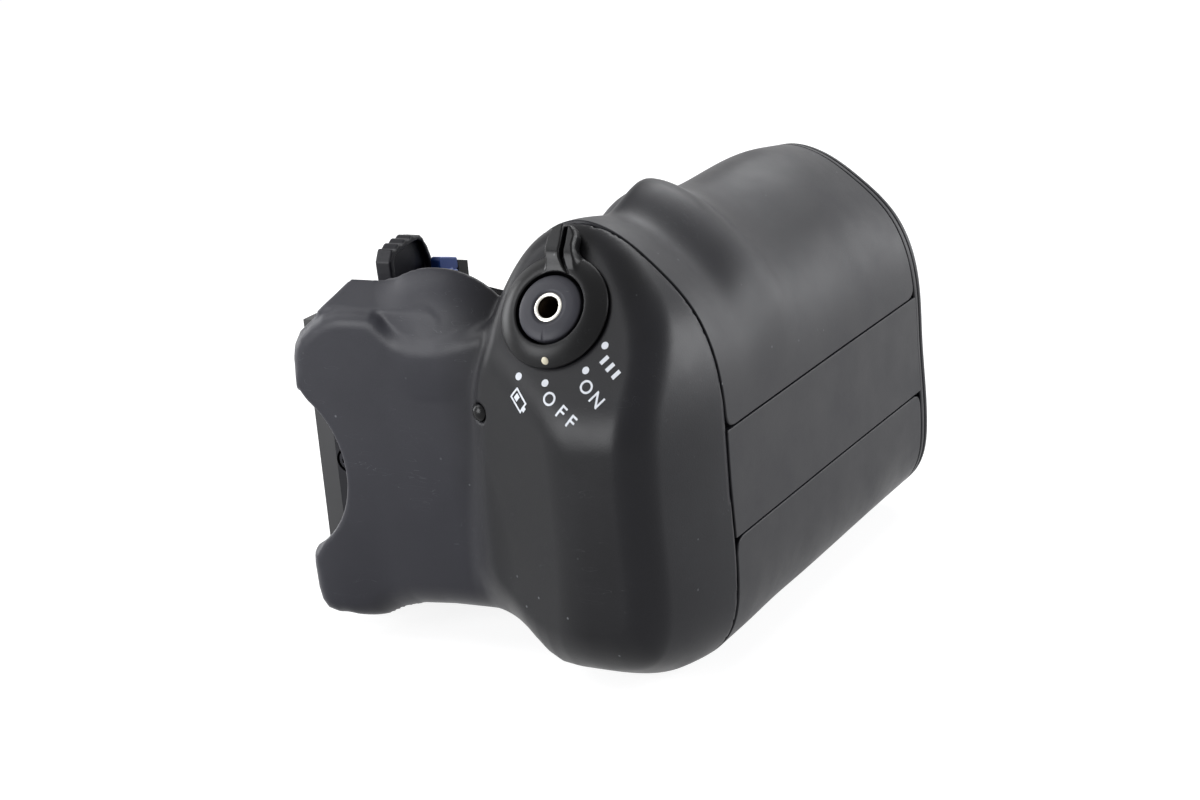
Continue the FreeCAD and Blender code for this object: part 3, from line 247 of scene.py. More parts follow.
def panel(name, surface, counts, sizes, corner, bevel, thick):
    """Make a shell panel over a surface patch: rounded corners, a rolled edge and a real thickness.

    The surface takes shares a and b from 0 to 1 and returns points and normals in millimetres.
    """
    lines = []
    for count, size in zip(counts, sizes):
        edge = np.array([0.0, 0.4, 0.8, 1.3]) / size
        inner = np.linspace(0, 1, count)
        inner = inner[(inner > 2.2 / size) & (inner < 1 - 2.2 / size)]
        lines.append(np.concatenate([edge, inner, 1 - edge[::-1]]))
    a, b = np.meshgrid(*lines)
    va = corner - np.minimum(a, 1 - a) * sizes[0]
    vb = corner - np.minimum(b, 1 - b) * sizes[1]
    near = (va > 0) & (vb > 0)
    flat, length = np.maximum(va, vb), np.maximum(np.hypot(va, vb), 1e-9)
    ka, kb = (corner - va * flat / length) / sizes[0], (corner - vb * flat / length) / sizes[1]
    a = np.where(near, np.where(a < 0.5, ka, 1 - ka), a)
    b = np.where(near, np.where(b < 0.5, kb, 1 - kb), b)
    points, normals = surface(a, b)
    r, c = points.shape[:2]
    top, up = points.reshape(-1, 3), normals.reshape(-1, 3)
    loop = [(0, j) for j in range(c)] + [(i, c - 1) for i in range(1, r)]
    loop += [(r - 1, j) for j in range(c - 2, -1, -1)] + [(i, 0) for i in range(r - 2, 0, -1)]
    index = np.array([i * c + j for i, j in loop])
    edge, edge_up = top[index], up[index]
    along = np.roll(edge, -1, 0) - np.roll(edge, 1, 0)
    along /= np.linalg.norm(along, axis=1, keepdims=True)
    out = np.cross(along, edge_up)
    inward = np.array([points[min(max(i, 1), r - 2), min(max(j, 1), c - 2)] for i, j in loop])
    out = np.where((np.sum(out * (edge - inward), 1) < 0)[:, None], -out, out)
    rings = [edge + out * bevel * (math.sin(turn) - 1) - edge_up * bevel * (1 - math.cos(turn))
             for turn in map(math.radians, (0, 22.5, 45, 67.5, 90))]
    rings.append(edge - edge_up * (thick - 0.3))
    moved = top.copy()
    moved[index] = rings[0]
    faces = grid_faces(r, c)
    faces += [tuple(len(top) + k for k in f[::-1]) for f in faces]
    n, start = len(index), 2 * len(top)
    bands = [index] + [np.arange(n) + start + k * n for k in range(len(rings) - 1)] + [index + len(top)]
    for low, high in zip(bands, bands[1:]):
        faces += [(low[k], low[(k + 1) % n], high[(k + 1) % n], high[k]) for k in range(n)]
    return new_piece(name, np.concatenate([moved, top - up * thick] + rings[1:]), faces)


# Where a height is looked for on the right and the left side: shares of the outline, and whether it rises there.
RIGHT = (-0.16, 0.3, 1.0)
LEFT = (0.42, 0.78, -1.0)


def edge_at(z, side, turns=0.0):
    """Give the outline share where the handle reaches height z on a side, as a function of y."""
    def share(y):
        rear, deep = grip_frame(y)[2:]
        want = (z - rear) / deep
        low, high = np.full(np.shape(y), side[0]), np.full(np.shape(y), side[1])
        for _ in range(34):
            mid = (low + high) / 2
            above = (outline_at(mid)[..., 1] - want) * side[2] > 0
            low, high = np.where(above, low, mid), np.where(above, mid, high)
        return (low + high) / 2 + turns
    return share


def strip(y_from, y_to, first, last):
    """Give a surface function over the handle between two edge functions of y."""
    def surface(a, b):
        y = y_from + (y_to - y_from) * b
        start, end = first(y), last(y)
        t = start + (end - start) * a
        return grip_point(t, y), grip_normal(t, y)
    return surface


def tube(name, profile):
    """Make a closed ring round the handle from (y, inset) points of its section."""
    count = 360
    rows = [inset_row(np.arange(count) / count, y, inset) for y, inset in profile]
    return new_piece(name, np.concatenate(rows), grid_faces(len(rows), count, closed=True, wrapped=True))


def handle_shells():
    """Make the finger-side cover, the palm cover and the band between them with its end rim."""
    last, inner = END_Y - END_RIM, SKIN + 0.05
    upper, lower = BAND_TOP + GAP, BAND_BOTTOM - GAP
    front = strip(SEAM_Y, last - GAP, edge_at(upper, RIGHT), edge_at(upper, LEFT))
    back = strip(SEAM_Y, last - GAP, edge_at(lower, LEFT), edge_at(lower, RIGHT, 1.0))
    right = strip(SEAM_Y, last + 0.4, edge_at(BAND_BOTTOM, RIGHT), edge_at(BAND_TOP, RIGHT))
    left = strip(SEAM_Y, last + 0.4, edge_at(BAND_TOP, LEFT), edge_at(BAND_BOTTOM, LEFT))
    cover = panel("front_grip_shell", front, (130, 96), (118.0, 90.0), COVER_CORNER, COVER_ROLL, SKIN)
    palm = panel("palm_shell", back, (96, 96), (86.0, 90.0), COVER_CORNER, COVER_ROLL, SKIN)
    sides = [panel(name, patch, (26, 90), (20.8, 92.0), BAND_CORNER, BAND_ROLL, SKIN + 1.4)
             for name, patch in (("band_right", right), ("band_left", left))]
    rim = tube("end_rim_ring", ((last, 0.3), (last + 0.05, 0.08), (last + 0.3, 0.0), (END_Y - 0.3, 0.0),
                                (END_Y - 0.05, 0.08), (END_Y, 0.3), (END_Y, CASE_DEPTH), (last, CASE_DEPTH)))
    case = tube("case_tube", ((SEAM_Y, inner), (last + 0.5, inner), (last + 0.5, CASE_DEPTH), (SEAM_Y, CASE_DEPTH)))
    return cover, palm, joined("spine_shell", *sides, rim, case)


# Smooth solids from distance functions.
def hollow_join(a, b, r):
    """Join two solids with a concave fillet of radius r."""
    return np.maximum(r, np.minimum(a, b)) - np.hypot(np.maximum(r - a, 0), np.maximum(r - b, 0))


def round_cut(a, b, r):
    """Keep what two solids share, with a convex fillet of radius r."""
    return np.minimum(-r, np.maximum(a, b)) + np.hypot(np.maximum(r + a, 0), np.maximum(r + b, 0))


def eased_cut(a, b, k):
    """Keep what two solids share, easing a blunt edge over a difference of k."""
    share = np.maximum(k - np.abs(a - b), 0) / k
    return np.maximum(a, b) + share * share * k * 0.25


def polygon_distance(x, z, corners):
    """Signed distance in the plane to a closed polygon, negative inside."""
    shape = x.shape
    q = np.stack([x.ravel(), z.ravel()], 1)
    corners = np.asarray(corners, float)
    best = np.full(len(q), 1e9)
    inside = np.zeros(len(q), bool)
    for a, b in zip(corners, np.roll(corners, -1, 0)):
        edge = b - a
        w = np.clip(((q - a) @ edge) / (edge @ edge), 0, 1)
        best = np.minimum(best, np.sum((q - a - w[:, None] * edge) ** 2, 1))
        crosses = (a[1] > q[:, 1]) != (b[1] > q[:, 1])
        where = a[0] + (q[:, 1] - a[1]) * edge[0] / (edge[1] if abs(edge[1]) > 1e-12 else 1e-12)
        inside ^= crosses & (q[:, 0] < where)
    best = np.sqrt(best)
    return np.where(inside, -best, best).reshape(shape)


NET_CORNERS = [(i, j, k) for i in (0, 1) for j in (0, 1) for k in (0, 1)]
NET_EDGES = [(a, b) for a in range(8) for b in range(a + 1, 8)
             if sum(abs(NET_CORNERS[a][n] - NET_CORNERS[b][n]) for n in range(3)) == 1]


def surface_net(distance, low, high, step):
    """Mesh the zero surface of a distance function on a grid, one point to a cell."""
    axes = [np.arange(lo, hi + step, step) for lo, hi in zip(low, high)]
    field = distance(*np.meshgrid(*axes, indexing="ij"))
    ni, nj, nk = (n - 1 for n in field.shape)
    parts = [field[i:ni + i, j:nj + j, k:nk + k] for i, j, k in NET_CORNERS]
    signs = sum((p < 0).astype(np.int8) for p in parts)
    live = (signs > 0) & (signs < 8)
    cells = np.argwhere(live)
    values = np.stack([p[live] for p in parts], 1)
    total, count = np.zeros((len(cells), 3)), np.zeros((len(cells), 1))
    for a, b in NET_EDGES:
        va, vb = values[:, a], values[:, b]
        cross = (va < 0) != (vb < 0)
        share = np.where(cross, va / np.where(cross, va - vb, 1.0), 0.0)[:, None]
        ca, cb = np.array(NET_CORNERS[a], float), np.array(NET_CORNERS[b], float)
        total += np.where(cross[:, None], ca + share * (cb - ca), 0.0)
        count += cross[:, None]
    points = np.array(low, float) + (cells + total / count) * step
    index = np.full(live.shape, -1)
    index[tuple(cells.T)] = np.arange(len(cells))
    inside = field < 0
    faces = []
    for axis in range(3):
        other = [n for n in range(3) if n != axis]
        core = [slice(1, -1)] * 3
        core[axis] = slice(None)
        spots = np.argwhere(np.diff(inside, axis=axis)[tuple(core)])
        spots[:, other] += 1
        quad = []
        for shift in ((-1, -1), (0, -1), (0, 0), (-1, 0)):
            near = spots.copy()
            near[:, other] += shift
            quad.append(index[tuple(near.T)])
        quad = np.stack(quad, 1)
        back = inside[tuple(spots.T)] == (axis == 1)
        quad[back] = quad[back][:, ::-1]
        faces.append(quad)
    return points, np.concatenate(faces)


def gradient(distance, p, step=0.02):
    """Gradient of a distance function at points."""
    return np.stack([(distance(*(p + shift).T) - distance(*(p - shift).T)) / (2 * step)
                     for shift in np.eye(3) * step], 1)


def settle(distance, p, rounds=2):
    """Move points onto the zero surface of a distance function."""
    for _ in range(rounds):
        g = gradient(distance, p)
        p = p - np.clip(distance(*p.T) / np.maximum(np.sum(g * g, 1), 0.05), -0.6, 0.6)[:, None] * g
    return p


def relax(distance, p, faces, rounds):
    """Even out a net along its own surface, then settle it again."""
    pairs = np.concatenate([faces[:, [0, 1]], faces[:, [1, 2]], faces[:, [2, 3]], faces[:, [3, 0]]])
    first, second = pairs.T
    count = np.bincount(pairs.ravel(), minlength=len(p))[:, None]
    for _ in range(rounds):
        total = [np.bincount(first, p[second, n], len(p)) + np.bincount(second, p[first, n], len(p)) for n in range(3)]
        move = np.stack(total, 1) / count - p
        g = gradient(distance, p)
        g /= np.maximum(np.linalg.norm(g, axis=1, keepdims=True), 1e-9)
        move -= np.sum(move * g, 1)[:, None] * g
        p = settle(distance, p + 0.6 * move, 1)
    return p


def carved(name, distance, low, high, step, rounds=3, place=None):
    """Make a piece from a distance function; place turns its points into part coordinates."""
    points, faces = surface_net(distance, low, high, step)
    points = relax(distance, settle(distance, points), faces, rounds)
    return new_piece(name, place(points) if place else points, faces)


# Head and arm.
FACE_Y = -44.2
PLATFORM_TILT = 34.0
PLATFORM = np.array([62.0, -31.5, 34.3])
SLOPE_OUT = np.array([0.0, -math.cos(math.radians(PLATFORM_TILT)), math.sin(math.radians(PLATFORM_TILT))])
SLOPE_UP = np.array([0.0, math.sin(math.radians(PLATFORM_TILT)), math.cos(math.radians(PLATFORM_TILT))])
CHEEK_X = 68.0
CHEEK_TURN = math.radians(23.5)
ARM_FRONT = -32.5
ARM_BACK = -25.0
DIAL_SPOT = (-6.4, -1.1)
DIAL_RADIUS = 18.3
HUMP_MIDDLE = (33.9, -22.2, 22.7)
HUMP_SIZE = (19.6, 10.2, 18.2)
HEAD_WALL = 2.2
# How far the head's side wall runs before the face, how far it draws in there and how deep its front edge is.
SKIRT_RUN = 26.0
SKIRT_PULL = 8.0
SKIRT_FRONT = 48.4


def radial_table():
    """Tabulate the outline as a radius over the angle about its middle."""
    uv = outline_at(np.linspace(0, 1, 1441)[:-1])
    du, dv = ((uv - OUTLINE_MIDDLE) * OUTLINE_SPAN).T
    angle = np.arctan2(dv, du)
    order = np.argsort(angle)
    angle, radius = angle[order], np.hypot(du, dv)[order]
    return np.concatenate([angle - 2 * math.pi, angle, angle + 2 * math.pi]), np.concatenate([radius] * 3)


RADIAL = radial_table()


def skirt_distance(x, y, z):
    """Distance to the head's side wall, which carries on from the handle and draws in towards the face."""
    pull = np.clip((SEAM_Y - y) / SKIRT_RUN, 0, 1.1)
    left = GRIP_LEFT + pull * (0.7 + 0.5 * np.clip((z - 22.0) / 14.0, 0, 1) - 9.0 * soft_step(30.0, 16.0, z))
    right = GRIP_RIGHT - SKIRT_PULL * (0.62 * pull + 0.28 * pull * pull)
    rear = GRIP_REAR + SKIRT_PULL * 0.7 * pull * pull
    wide, deep = right - left, SKIRT_FRONT + 0.6 * pull - rear
    du = (x - left - wide * OUTLINE_MIDDLE[0]) * OUTLINE_SPAN[0] / wide
    dv = (z - rear - deep * OUTLINE_MIDDLE[1]) * OUTLINE_SPAN[1] / deep
    angle = np.arctan2(dv, du)
    edge = np.interp(angle, *RADIAL)
    slope = (np.interp(angle + 0.01, *RADIAL) - np.interp(angle - 0.01, *RADIAL)) / (0.02 * edge)
    return (np.hypot(du, dv) - edge) / np.sqrt(1 + slope ** 2)


# Height of the head's lower edge at the face, rounded up towards the arm, and how it falls away from the face.
HEEL = ((40.0, 44.0, 49.4, 53.0, 56.0, 59.0, 63.0, 67.0, 71.0, 75.0, 79.0, 84.0, 92.0),
        (-13.0, -17.0, -22.2, -25.3, -27.6, -29.0, -29.6, -29.6, -29.6, -29.5, -29.3, -28.9, -28.2))
HEEL_Y = -41.0
HEEL_SLOPE = 0.62
# The face is a little crowned about this middle; its edges to the cheek, the platform and the heel are eased.
CROWN_MIDDLE = (66.0, -4.0)
CROWN_RISE = 0.35
CROWN = 0.0012
CHEEK_EASE = 1.6
PLATFORM_EASE = 2.6
HEEL_EASE = 3.0
RIM_LOW = 5.2
RIM_HIGH = 3.2


def head_distance(x, y, z):
    """Distance to the head: side wall, sloping platform, face and turned cheek, with soft edges between."""
    crown = CROWN * ((x - CROWN_MIDDLE[0]) ** 2 + (z - CROWN_MIDDLE[1]) ** 2)
    face = FACE_Y + CROWN_RISE - y + crown
    cheek = -(x - CHEEK_X) * math.sin(CHEEK_TURN) - (y - FACE_Y) * math.cos(CHEEK_TURN)
    slope = (y - PLATFORM[1]) * SLOPE_OUT[1] + (z - PLATFORM[2]) * SLOPE_OUT[2]
    front = eased_cut(eased_cut(face, cheek, CHEEK_EASE), slope, PLATFORM_EASE)
    heel = np.interp(x, *HEEL) - HEEL_SLOPE * (y - HEEL_Y) - z
    side = eased_cut(skirt_distance(x, y, z), heel * 0.85, HEEL_EASE)
    rim = RIM_LOW - (RIM_LOW - RIM_HIGH) * np.clip((z - 30.0) / 14.0, 0, 1)
    return round_cut(front, side, rim)


ARM_OUTLINE = (
    (60.0, -26.6), (40.0, -26.6), (30.0, -26.9), (23.0, -27.6), (18.5, -28.9), (14.0, -30.5), (9.0, -31.5),
    (5.2, -31.7), (2.7, -30.9), (1.3, -28.9), (0.7, -26.0), (0.5, -21.0), (0.7, -18.9),
)
ARM_TOP = (
    (1.5, 14.3), (1.5, 18.0), (1.6, 21.6), (2.2, 24.3), (3.8, 26.9), (6.6, 29.1), (10.0, 31.2), (13.5, 32.2),
    (18.0, 32.4), (21.5, 32.3), (23.6, 31.4), (25.4, 29.8), (27.4, 28.3), (30.0, 27.5), (33.5, 27.4), (37.0, 28.0),
    (41.0, 29.2), (46.0, 30.8), (52.0, 32.5), (60.0, 34.0),
)


def arm_polygon():
    """Outline of the arm's front plate, with the round clearance for the camera's dial."""
    cx, cz = DIAL_SPOT
    start, stop = (math.atan2(z - cz, x - cx) for x, z in (ARM_OUTLINE[-1], ARM_TOP[0]))
    bow = [(cx + DIAL_RADIUS * math.cos(a), cz + DIAL_RADIUS * math.sin(a)) for a in np.linspace(start, stop, 40)]
    return list(ARM_OUTLINE) + bow[1:-1] + list(ARM_TOP)


ARM_POLYGON = arm_polygon()
LEDGE = ((7.6, 24.0), (7.6, 29.8), (11.0, 33.5), (13.8, 36.7), (20.0, 37.2), (26.0, 37.0), (33.0, 35.0), (36.0, 31.0),
         (36.0, 24.0))
LEDGE_TILT = math.radians(39.5)
LEDGE_EDGE = (-30.2, 32.5)
LEDGE_FRONT = -30.6
HUMP_FOOT = 16.0


def arm_distance(x, y, z):
    """Distance to the arm: front plate, sloping ledge behind its top edge and the rounded hump."""
    low = soft_step(-13.0, -27.0, z)
    flat = polygon_distance(x, z + 2.0 * low * soft_step(6.0, 14.0, x), ARM_POLYGON)
    front = ARM_FRONT + 0.0022 * soft_step(2.0, 20.0, x) * np.maximum(8.0 - z, 0) ** 2 - y
    back = y - ARM_BACK
    # The edge is wide along the bottom and small round the dial clearance.
    edge = 3.6 + 3.0 * low * soft_step(8.0, 18.0, x)
    cut = np.hypot(x - DIAL_SPOT[0], z - DIAL_SPOT[1]) - DIAL_RADIUS
    edge = edge + (0.9 - edge) * soft_step(5.5, 1.5, cut) * soft_step(1.5, 5.5, x)
    plate = round_cut(round_cut(front, flat, edge), back, 0.3)
    top = (z - LEDGE_EDGE[1]) * math.cos(LEDGE_TILT) - (y - LEDGE_EDGE[0]) * math.sin(LEDGE_TILT)
    ledge = round_cut(round_cut(polygon_distance(x, z, LEDGE), top, 0.8), LEDGE_FRONT - y, 0.2)
    body = hollow_join(plate, round_cut(ledge, back, 0.3), 0.4)
    away = [(v - middle, size) for v, middle, size in zip((x, y, z), HUMP_MIDDLE, HUMP_SIZE)]
    level = np.sqrt(sum((d / size) ** 2 for d, size in away))
    lean = np.sqrt(sum((d / size ** 2) ** 2 for d, size in away))
    hump = level * (level - 1) / np.maximum(lean, 1e-6)
    hump = round_cut(round_cut(hump, back, 1.2), HUMP_FOOT - z, 0.5)
    return hollow_join(body, hump, 1.3)


def outer_distance(x, y, z):
    """Distance to the whole head cover's outer form."""
    near = x < 64.0
    arm = np.full(x.shape, 40.0)
    if near.any():
        arm[near] = arm_distance(x[near], y[near], z[near])
    return hollow_join(head_distance(x, y, z), arm, 1.4 + 4.2 * soft_step(16.0, -18.0, z))


def back_plate():
    """Carve the flat plate that closes the arm from behind, inside the arm's own outline."""
    def distance(x, y, z):
        flat = np.maximum(polygon_distance(x, z, ARM_POLYGON) + 1.8, x - 46.6)
        return round_cut(flat, np.abs(y + 24.3) - 0.7, 0.2)
    return carved("back_plate", distance, (1.0, -26.0, -31.5), (48.0, -22.6, 33.5), 0.5, 1)


def local_point(x, y, z):
    """Turn part coordinates into the release's own: across, up the slope and out of it."""
    dx, dy, dz = x - PLATFORM[0], y - PLATFORM[1], z - PLATFORM[2]
    return dx, dy * SLOPE_UP[1] + dz * SLOPE_UP[2], dy * SLOPE_OUT[1] + dz * SLOPE_OUT[2]


LAMP_SPOT = np.array([45.4, -34.3, 14.9])
LAMP_WAY = np.array([-0.08, -0.99, 0.06])
LAMP_WAY /= np.linalg.norm(LAMP_WAY)
LAMP_BORE = 1.85
SLEEVE_BORE = 8.85


def head_shell_distance(x, y, z):
    """Distance to the hollow head cover with its holes for the release and the lamp."""
    outer = outer_distance(x, y, z)
    shell = np.maximum(round_cut(outer, y - (SEAM_Y - GAP), 0.45), -(outer + HEAD_WALL))
    a, b, c = local_point(x, y, z)
    shell = np.maximum(shell, -np.maximum(np.hypot(a, b) - SLEEVE_BORE, -14 - c))
    rx, ry, rz = x - LAMP_SPOT[0], y - LAMP_SPOT[1], z - LAMP_SPOT[2]
    along = rx * LAMP_WAY[0] + ry * LAMP_WAY[1] + rz * LAMP_WAY[2]
    lens = np.sqrt(np.maximum(rx * rx + ry * ry + rz * rz - along ** 2, 0)) - LAMP_BORE
    return np.maximum(shell, -np.maximum(lens, np.abs(along) - 6))


def head_shell():
    """Carve the head cover with its arm."""
    return carved("head_shell", head_shell_distance, (0.0, -46.0, -39.5), (90.5, -19.5, 51.5), 0.6)


# Release and selector, in the release's own frame.
BUTTON_RADIUS = 6.25
BUTTON_TOP = 3.0
RING_BORE = 6.8
RING_RADIUS = 10.8
DOT_SPOT = (0.85, -9.55)
DOT_RADIUS = 0.72
RING_CREST = 2.6
RING_FALL = 1.85
# The ring's flank starts at this radius and is this wide.
RING_FLANK = (7.1, 3.7)
# The tab in the release's plane: a thumb rib, the groove beside it and the lower flank on its other side.
GROOVE = [(0.03, 15.9), (0.15, 14.4), (0.36, 12.4), (0.43, 10.8), (0.62, 9.45), (1.3, 7.9), (2.35, 6.6)]
RIB = [(-2.75, 5.0), (-2.65, 5.9), (-2.45, 7.1), (-2.5, 8.4), (-2.8, 10.0), (-3.0, 11.2), (-2.97, 12.8), (-2.6, 14.3),
       (-1.9, 15.2), (-1.0, 15.8)] + GROOVE + [(2.4, 5.0)]
FLANK = GROOVE + [(3.6, 7.4), (3.4, 9.4), (2.9, 10.7), (2.5, 12.1), (2.5, 13.8), (1.9, 15.0), (1.1, 15.8)]
TAB = RIB[2:10] + [(0.1, 16.0)] + FLANK[::-1][:6] + [(2.4, 5.0)]


def to_part(points):
    """Turn points of the release's own frame into part coordinates."""
    p = np.asarray(points, float)
    return PLATFORM + p[:, :1] * np.array([1.0, 0, 0]) + p[:, 1:2] * SLOPE_UP + p[:, 2:3] * SLOPE_OUT


def path_distance(a, b, path):
    """Distance in the plane to an open run of points."""
    best = np.full(a.shape, 1e9)
    for (ax, ay), (bx, by) in zip(path, path[1:]):
        ex, ey = bx - ax, by - ay
        w = np.clip(((a - ax) * ex + (b - ay) * ey) / (ex * ex + ey * ey), 0, 1)
        best = np.minimum(best, np.hypot(a - ax - w * ex, b - ay - w * ey))
    return best


def ring_top(r):
    """Height of the ring's domed flank at a radius."""
    return RING_CREST - RING_FALL * np.clip((r - RING_FLANK[0]) / RING_FLANK[1], 0, 1) ** 1.7


def ring_distance(a, b, c):
    """Distance to the selector ring with its ribbed finger tab."""
    r = np.hypot(a, b)
    top = ring_top(r)
    near = b > 3.0
    flat, raised = r - RING_RADIUS, np.zeros(r.shape)
    at, bt = a[near], b[near]
    rib = polygon_distance(at, bt, RIB)
    flank = polygon_distance(at, bt, FLANK)
    groove = path_distance(at, bt, GROOVE)
    rib_top = 2.75 + 1.3 * soft_step(6.4, 10.4, bt) - 0.10 * np.maximum(bt - 11.0, 0)
    flank_top = 2.45 + 0.95 * soft_step(6.6, 10.6, bt) - 0.10 * np.maximum(bt - 11.0, 0)
    low = top[near]
    lift = np.maximum((rib_top - low) * soft_step(0.45, -0.4, rib), (flank_top - low) * soft_step(0.6, -0.5, flank))
    raised[near] = np.maximum(lift, 0) - 0.35 * soft_step(0.3, 0.0, groove)
    flat[near] = hollow_join(flat[near], polygon_distance(at, bt, TAB) + 0.1, 1.1)
    slab = np.maximum(c - top - raised, 0.3 - c)
    body = round_cut(flat, slab, 0.3)
    return round_cut(body, RING_BORE - r, 0.25)


def round_angles(count):
    """Angles of points round a full turn."""
    return np.arange(count) / count * 2 * math.pi


def circles(profile, count):
    """Points about the Z axis from pairs of radius and height, each a number or one value for each angle."""
    angle = round_angles(count)
    return np.concatenate([np.stack([r * np.cos(angle), r * np.sin(angle), z + 0 * angle], 1) for r, z in profile])


def turned(name, profile, count):
    """Turn a closed section of radius and height about the release axis."""
    faces = grid_faces(len(profile), count, closed=True, wrapped=True)
    return new_piece(name, to_part(circles(profile, count)), faces)


def selector_dial():
    """Carve the selector ring; its sleeve runs down round the button."""
    ring = carved("selector_dial", ring_distance, (-12.6, -12.2, -0.4), (12.6, 17.4, 5.0), 0.22, 2, to_part)
    return joined("selector_dial", ring, turned("sleeve", ((8.5, 0.5), (8.5, -5.8), (7.0, -5.8), (7.0, 0.5)), 96))


def shutter_button():
    """Turn the domed button, with the small notch that shows its turned-in position."""
    reach, top, edge, count = BUTTON_RADIUS, BUTTON_TOP, 0.55, 240
    section = [(2.8, top + 0.02), (3.6, top - 0.01), (4.6, top - 0.08), (5.5, top - 0.2)]
    section += [(reach - edge + edge * math.cos(a), top - 0.9 + edge * math.sin(a))
                for a in map(math.radians, np.linspace(78, 0, 6))]
    section += [(reach, -5.0), (5.3, -5.0), (5.3, 1.0), (3.6, 1.0), (3.6, -5.0), (2.8, -5.0)]
    off = round_angles(count) - 1.5 * math.pi
    section = [(r, z - np.exp(-((off * r / 0.16) ** 2)) * 0.22 * (z > 0.5) * soft_step(4.6, 5.1, r))
               for r, z in section]
    return turned("shutter_button", section, count)


def cable_insert():
    """Turn the metal insert with its cable thread, 0.62 mm pitch, which starts as a plain bore."""
    count, steps, pitch, depth = 72, 96, 0.62, 7.8
    turn = np.arange(count) / count
    top = BUTTON_TOP + 0.1
    section = [(2.75, -5.0), (2.75, top - 0.12), (2.68, top - 0.02), (2.5, top), (2.2, top), (2.08, top - 0.08)]
    for k in range(steps):
        z = top - 0.25 - depth * k / (steps - 1)
        tooth = 1 - np.abs(2 * np.mod(z / pitch + turn, 1.0) - 1)
        section.append((2.0 + 0.21 * (tooth - 0.5) * soft_step(0, 0.08, k / steps), z))
    return turned("cable_insert", section, count)


def dress_thread(piece):
    """Give the thread inside the insert its darker, oiled metal."""
    piece.data.materials.append(THREAD)
    for face in piece.data.polygons:
        a, b, c = local_point(*(np.array(face.center) / MM))
        if math.hypot(a, b) < 2.12 and c < BUTTON_TOP + 0.02:
            face.material_index = 1


def disc_on_ring():
    """Make the slightly domed index dot on the ring, tilted with the ring's top."""
    count, reach = 28, np.hypot(*DOT_SPOT)
    angle = round_angles(count)
    fall = ring_top(reach + 0.5) - ring_top(reach - 0.5)
    points = []
    for r, z in ((0.0, 0.14), (0.25, 0.13), (0.45, 0.09), (0.62, 0.02), (DOT_RADIUS, -0.06), (DOT_RADIUS, -0.5)):
        x, y = r * np.cos(angle), 0.86 * r * np.sin(angle)
        level = ring_top(reach) + 0.02 + z + fall * (x * DOT_SPOT[0] + y * DOT_SPOT[1]) / reach
        points.append(np.stack([DOT_SPOT[0] + x, DOT_SPOT[1] + y, level], 1))
    faces = grid_faces(len(points), count, closed=True)
    faces.append(tuple(range((len(points) - 1) * count, len(points) * count)))
    return new_piece("index_bead", to_part(np.concatenate(points)), faces)


def lamp_lens():
    """Turn the dark domed lens of the battery lamp."""
    turn = np.array(Vector(LAMP_WAY).to_track_quat("Z", "Y").to_matrix())
    profile = ((0.0, 0.65), (0.5, 0.61), (0.95, 0.47), (1.35, 0.25), (1.6, -0.01), (1.68, -0.25), (1.68, -3.35),
               (0.0, -3.35))
    points = circles(profile, 40) @ turn.T + LAMP_SPOT
    return new_piece("battery_lens", points, grid_faces(len(profile), 40, closed=True))


# Marks printed on the head.
INK_LIFT = 0.035
INK_EDGE = 0.45


def on_head(points, way):
    """Drop points along a way onto the head's outer surface, a hair above it."""
    p = points + way * 6.0
    for _ in range(40):
        p = p - way * np.clip(outer_distance(*p.T) - INK_LIFT, -1.0, 1.0)[:, None] * 0.9
    return p


def printed(name, shapes):
    """Print flat outlines, given as meshes in the release's plane, onto the head."""
    work = bmesh.new()
    for shape in shapes:
        work.from_mesh(shape.data)
        bpy.data.objects.remove(shape)
    bmesh.ops.triangulate(work, faces=work.faces)
    for _ in range(4):
        long_edges = [e for e in work.edges if e.calc_length() > INK_EDGE]
        if not long_edges:
            break
        bmesh.ops.subdivide_edges(work, edges=long_edges, cuts=1)
        bmesh.ops.triangulate(work, faces=work.faces)
    placed = on_head(to_part([v.co[:] for v in work.verts]), SLOPE_OUT)
    for vert, spot in zip(work.verts, placed):
        vert.co = spot * MM
    bmesh.ops.recalc_face_normals(work, faces=work.faces)
    mesh = bpy.data.meshes.new(name)
    work.to_mesh(mesh)
    work.free()
    if sum((f.normal for f in mesh.polygons), Vector()).dot(Vector(SLOPE_OUT)) < 0:
        mesh.flip_normals()
    return linked(name, mesh)


def flat_face(corners):
    """Make one flat face in the release's plane."""
    mesh = bpy.data.meshes.new("flat")
    mesh.from_pydata([(a, b, 0.0) for a, b in corners], [], [tuple(range(len(corners)))])
    return linked("flat", mesh)


def flat_disc(spot, radius):
    """Make a flat disc in the release's plane."""
    return flat_face([(spot[0] + radius * math.cos(a), spot[1] + radius * math.sin(a)) for a in round_angles(28)])


def flat_bar(start, end, width):
    """Make a flat bar between two points of the release's plane."""
    a, b = np.array(start, float), np.array(end, float)
    way = (b - a) / np.linalg.norm(b - a)
    side = np.array([-way[1], way[0]]) * width / 2
    return flat_face([a - side, b - side, b + side, a + side])


def flat_letter(letter, spot, turn, height):
    """Draw one plain capital in the release's plane about its middle."""
    curve = bpy.data.curves.new("letter", "FONT")
    curve.body = letter
    curve.offset = 0.012
    mesh = baked(linked("letter", curve))
    points = np.array([v.co[:] for v in mesh.vertices])
    low, high = points.min(0), points.max(0)
    mesh.transform(Matrix.Translation(Vector(-(low + high) / 2)))
    mesh.transform(Matrix.Scale(height / (high[1] - low[1]), 4))
    mesh.transform(Matrix.Translation((*spot, 0)) @ Matrix.Rotation(math.radians(turn), 4, "Z"))
    return linked("letter", mesh)


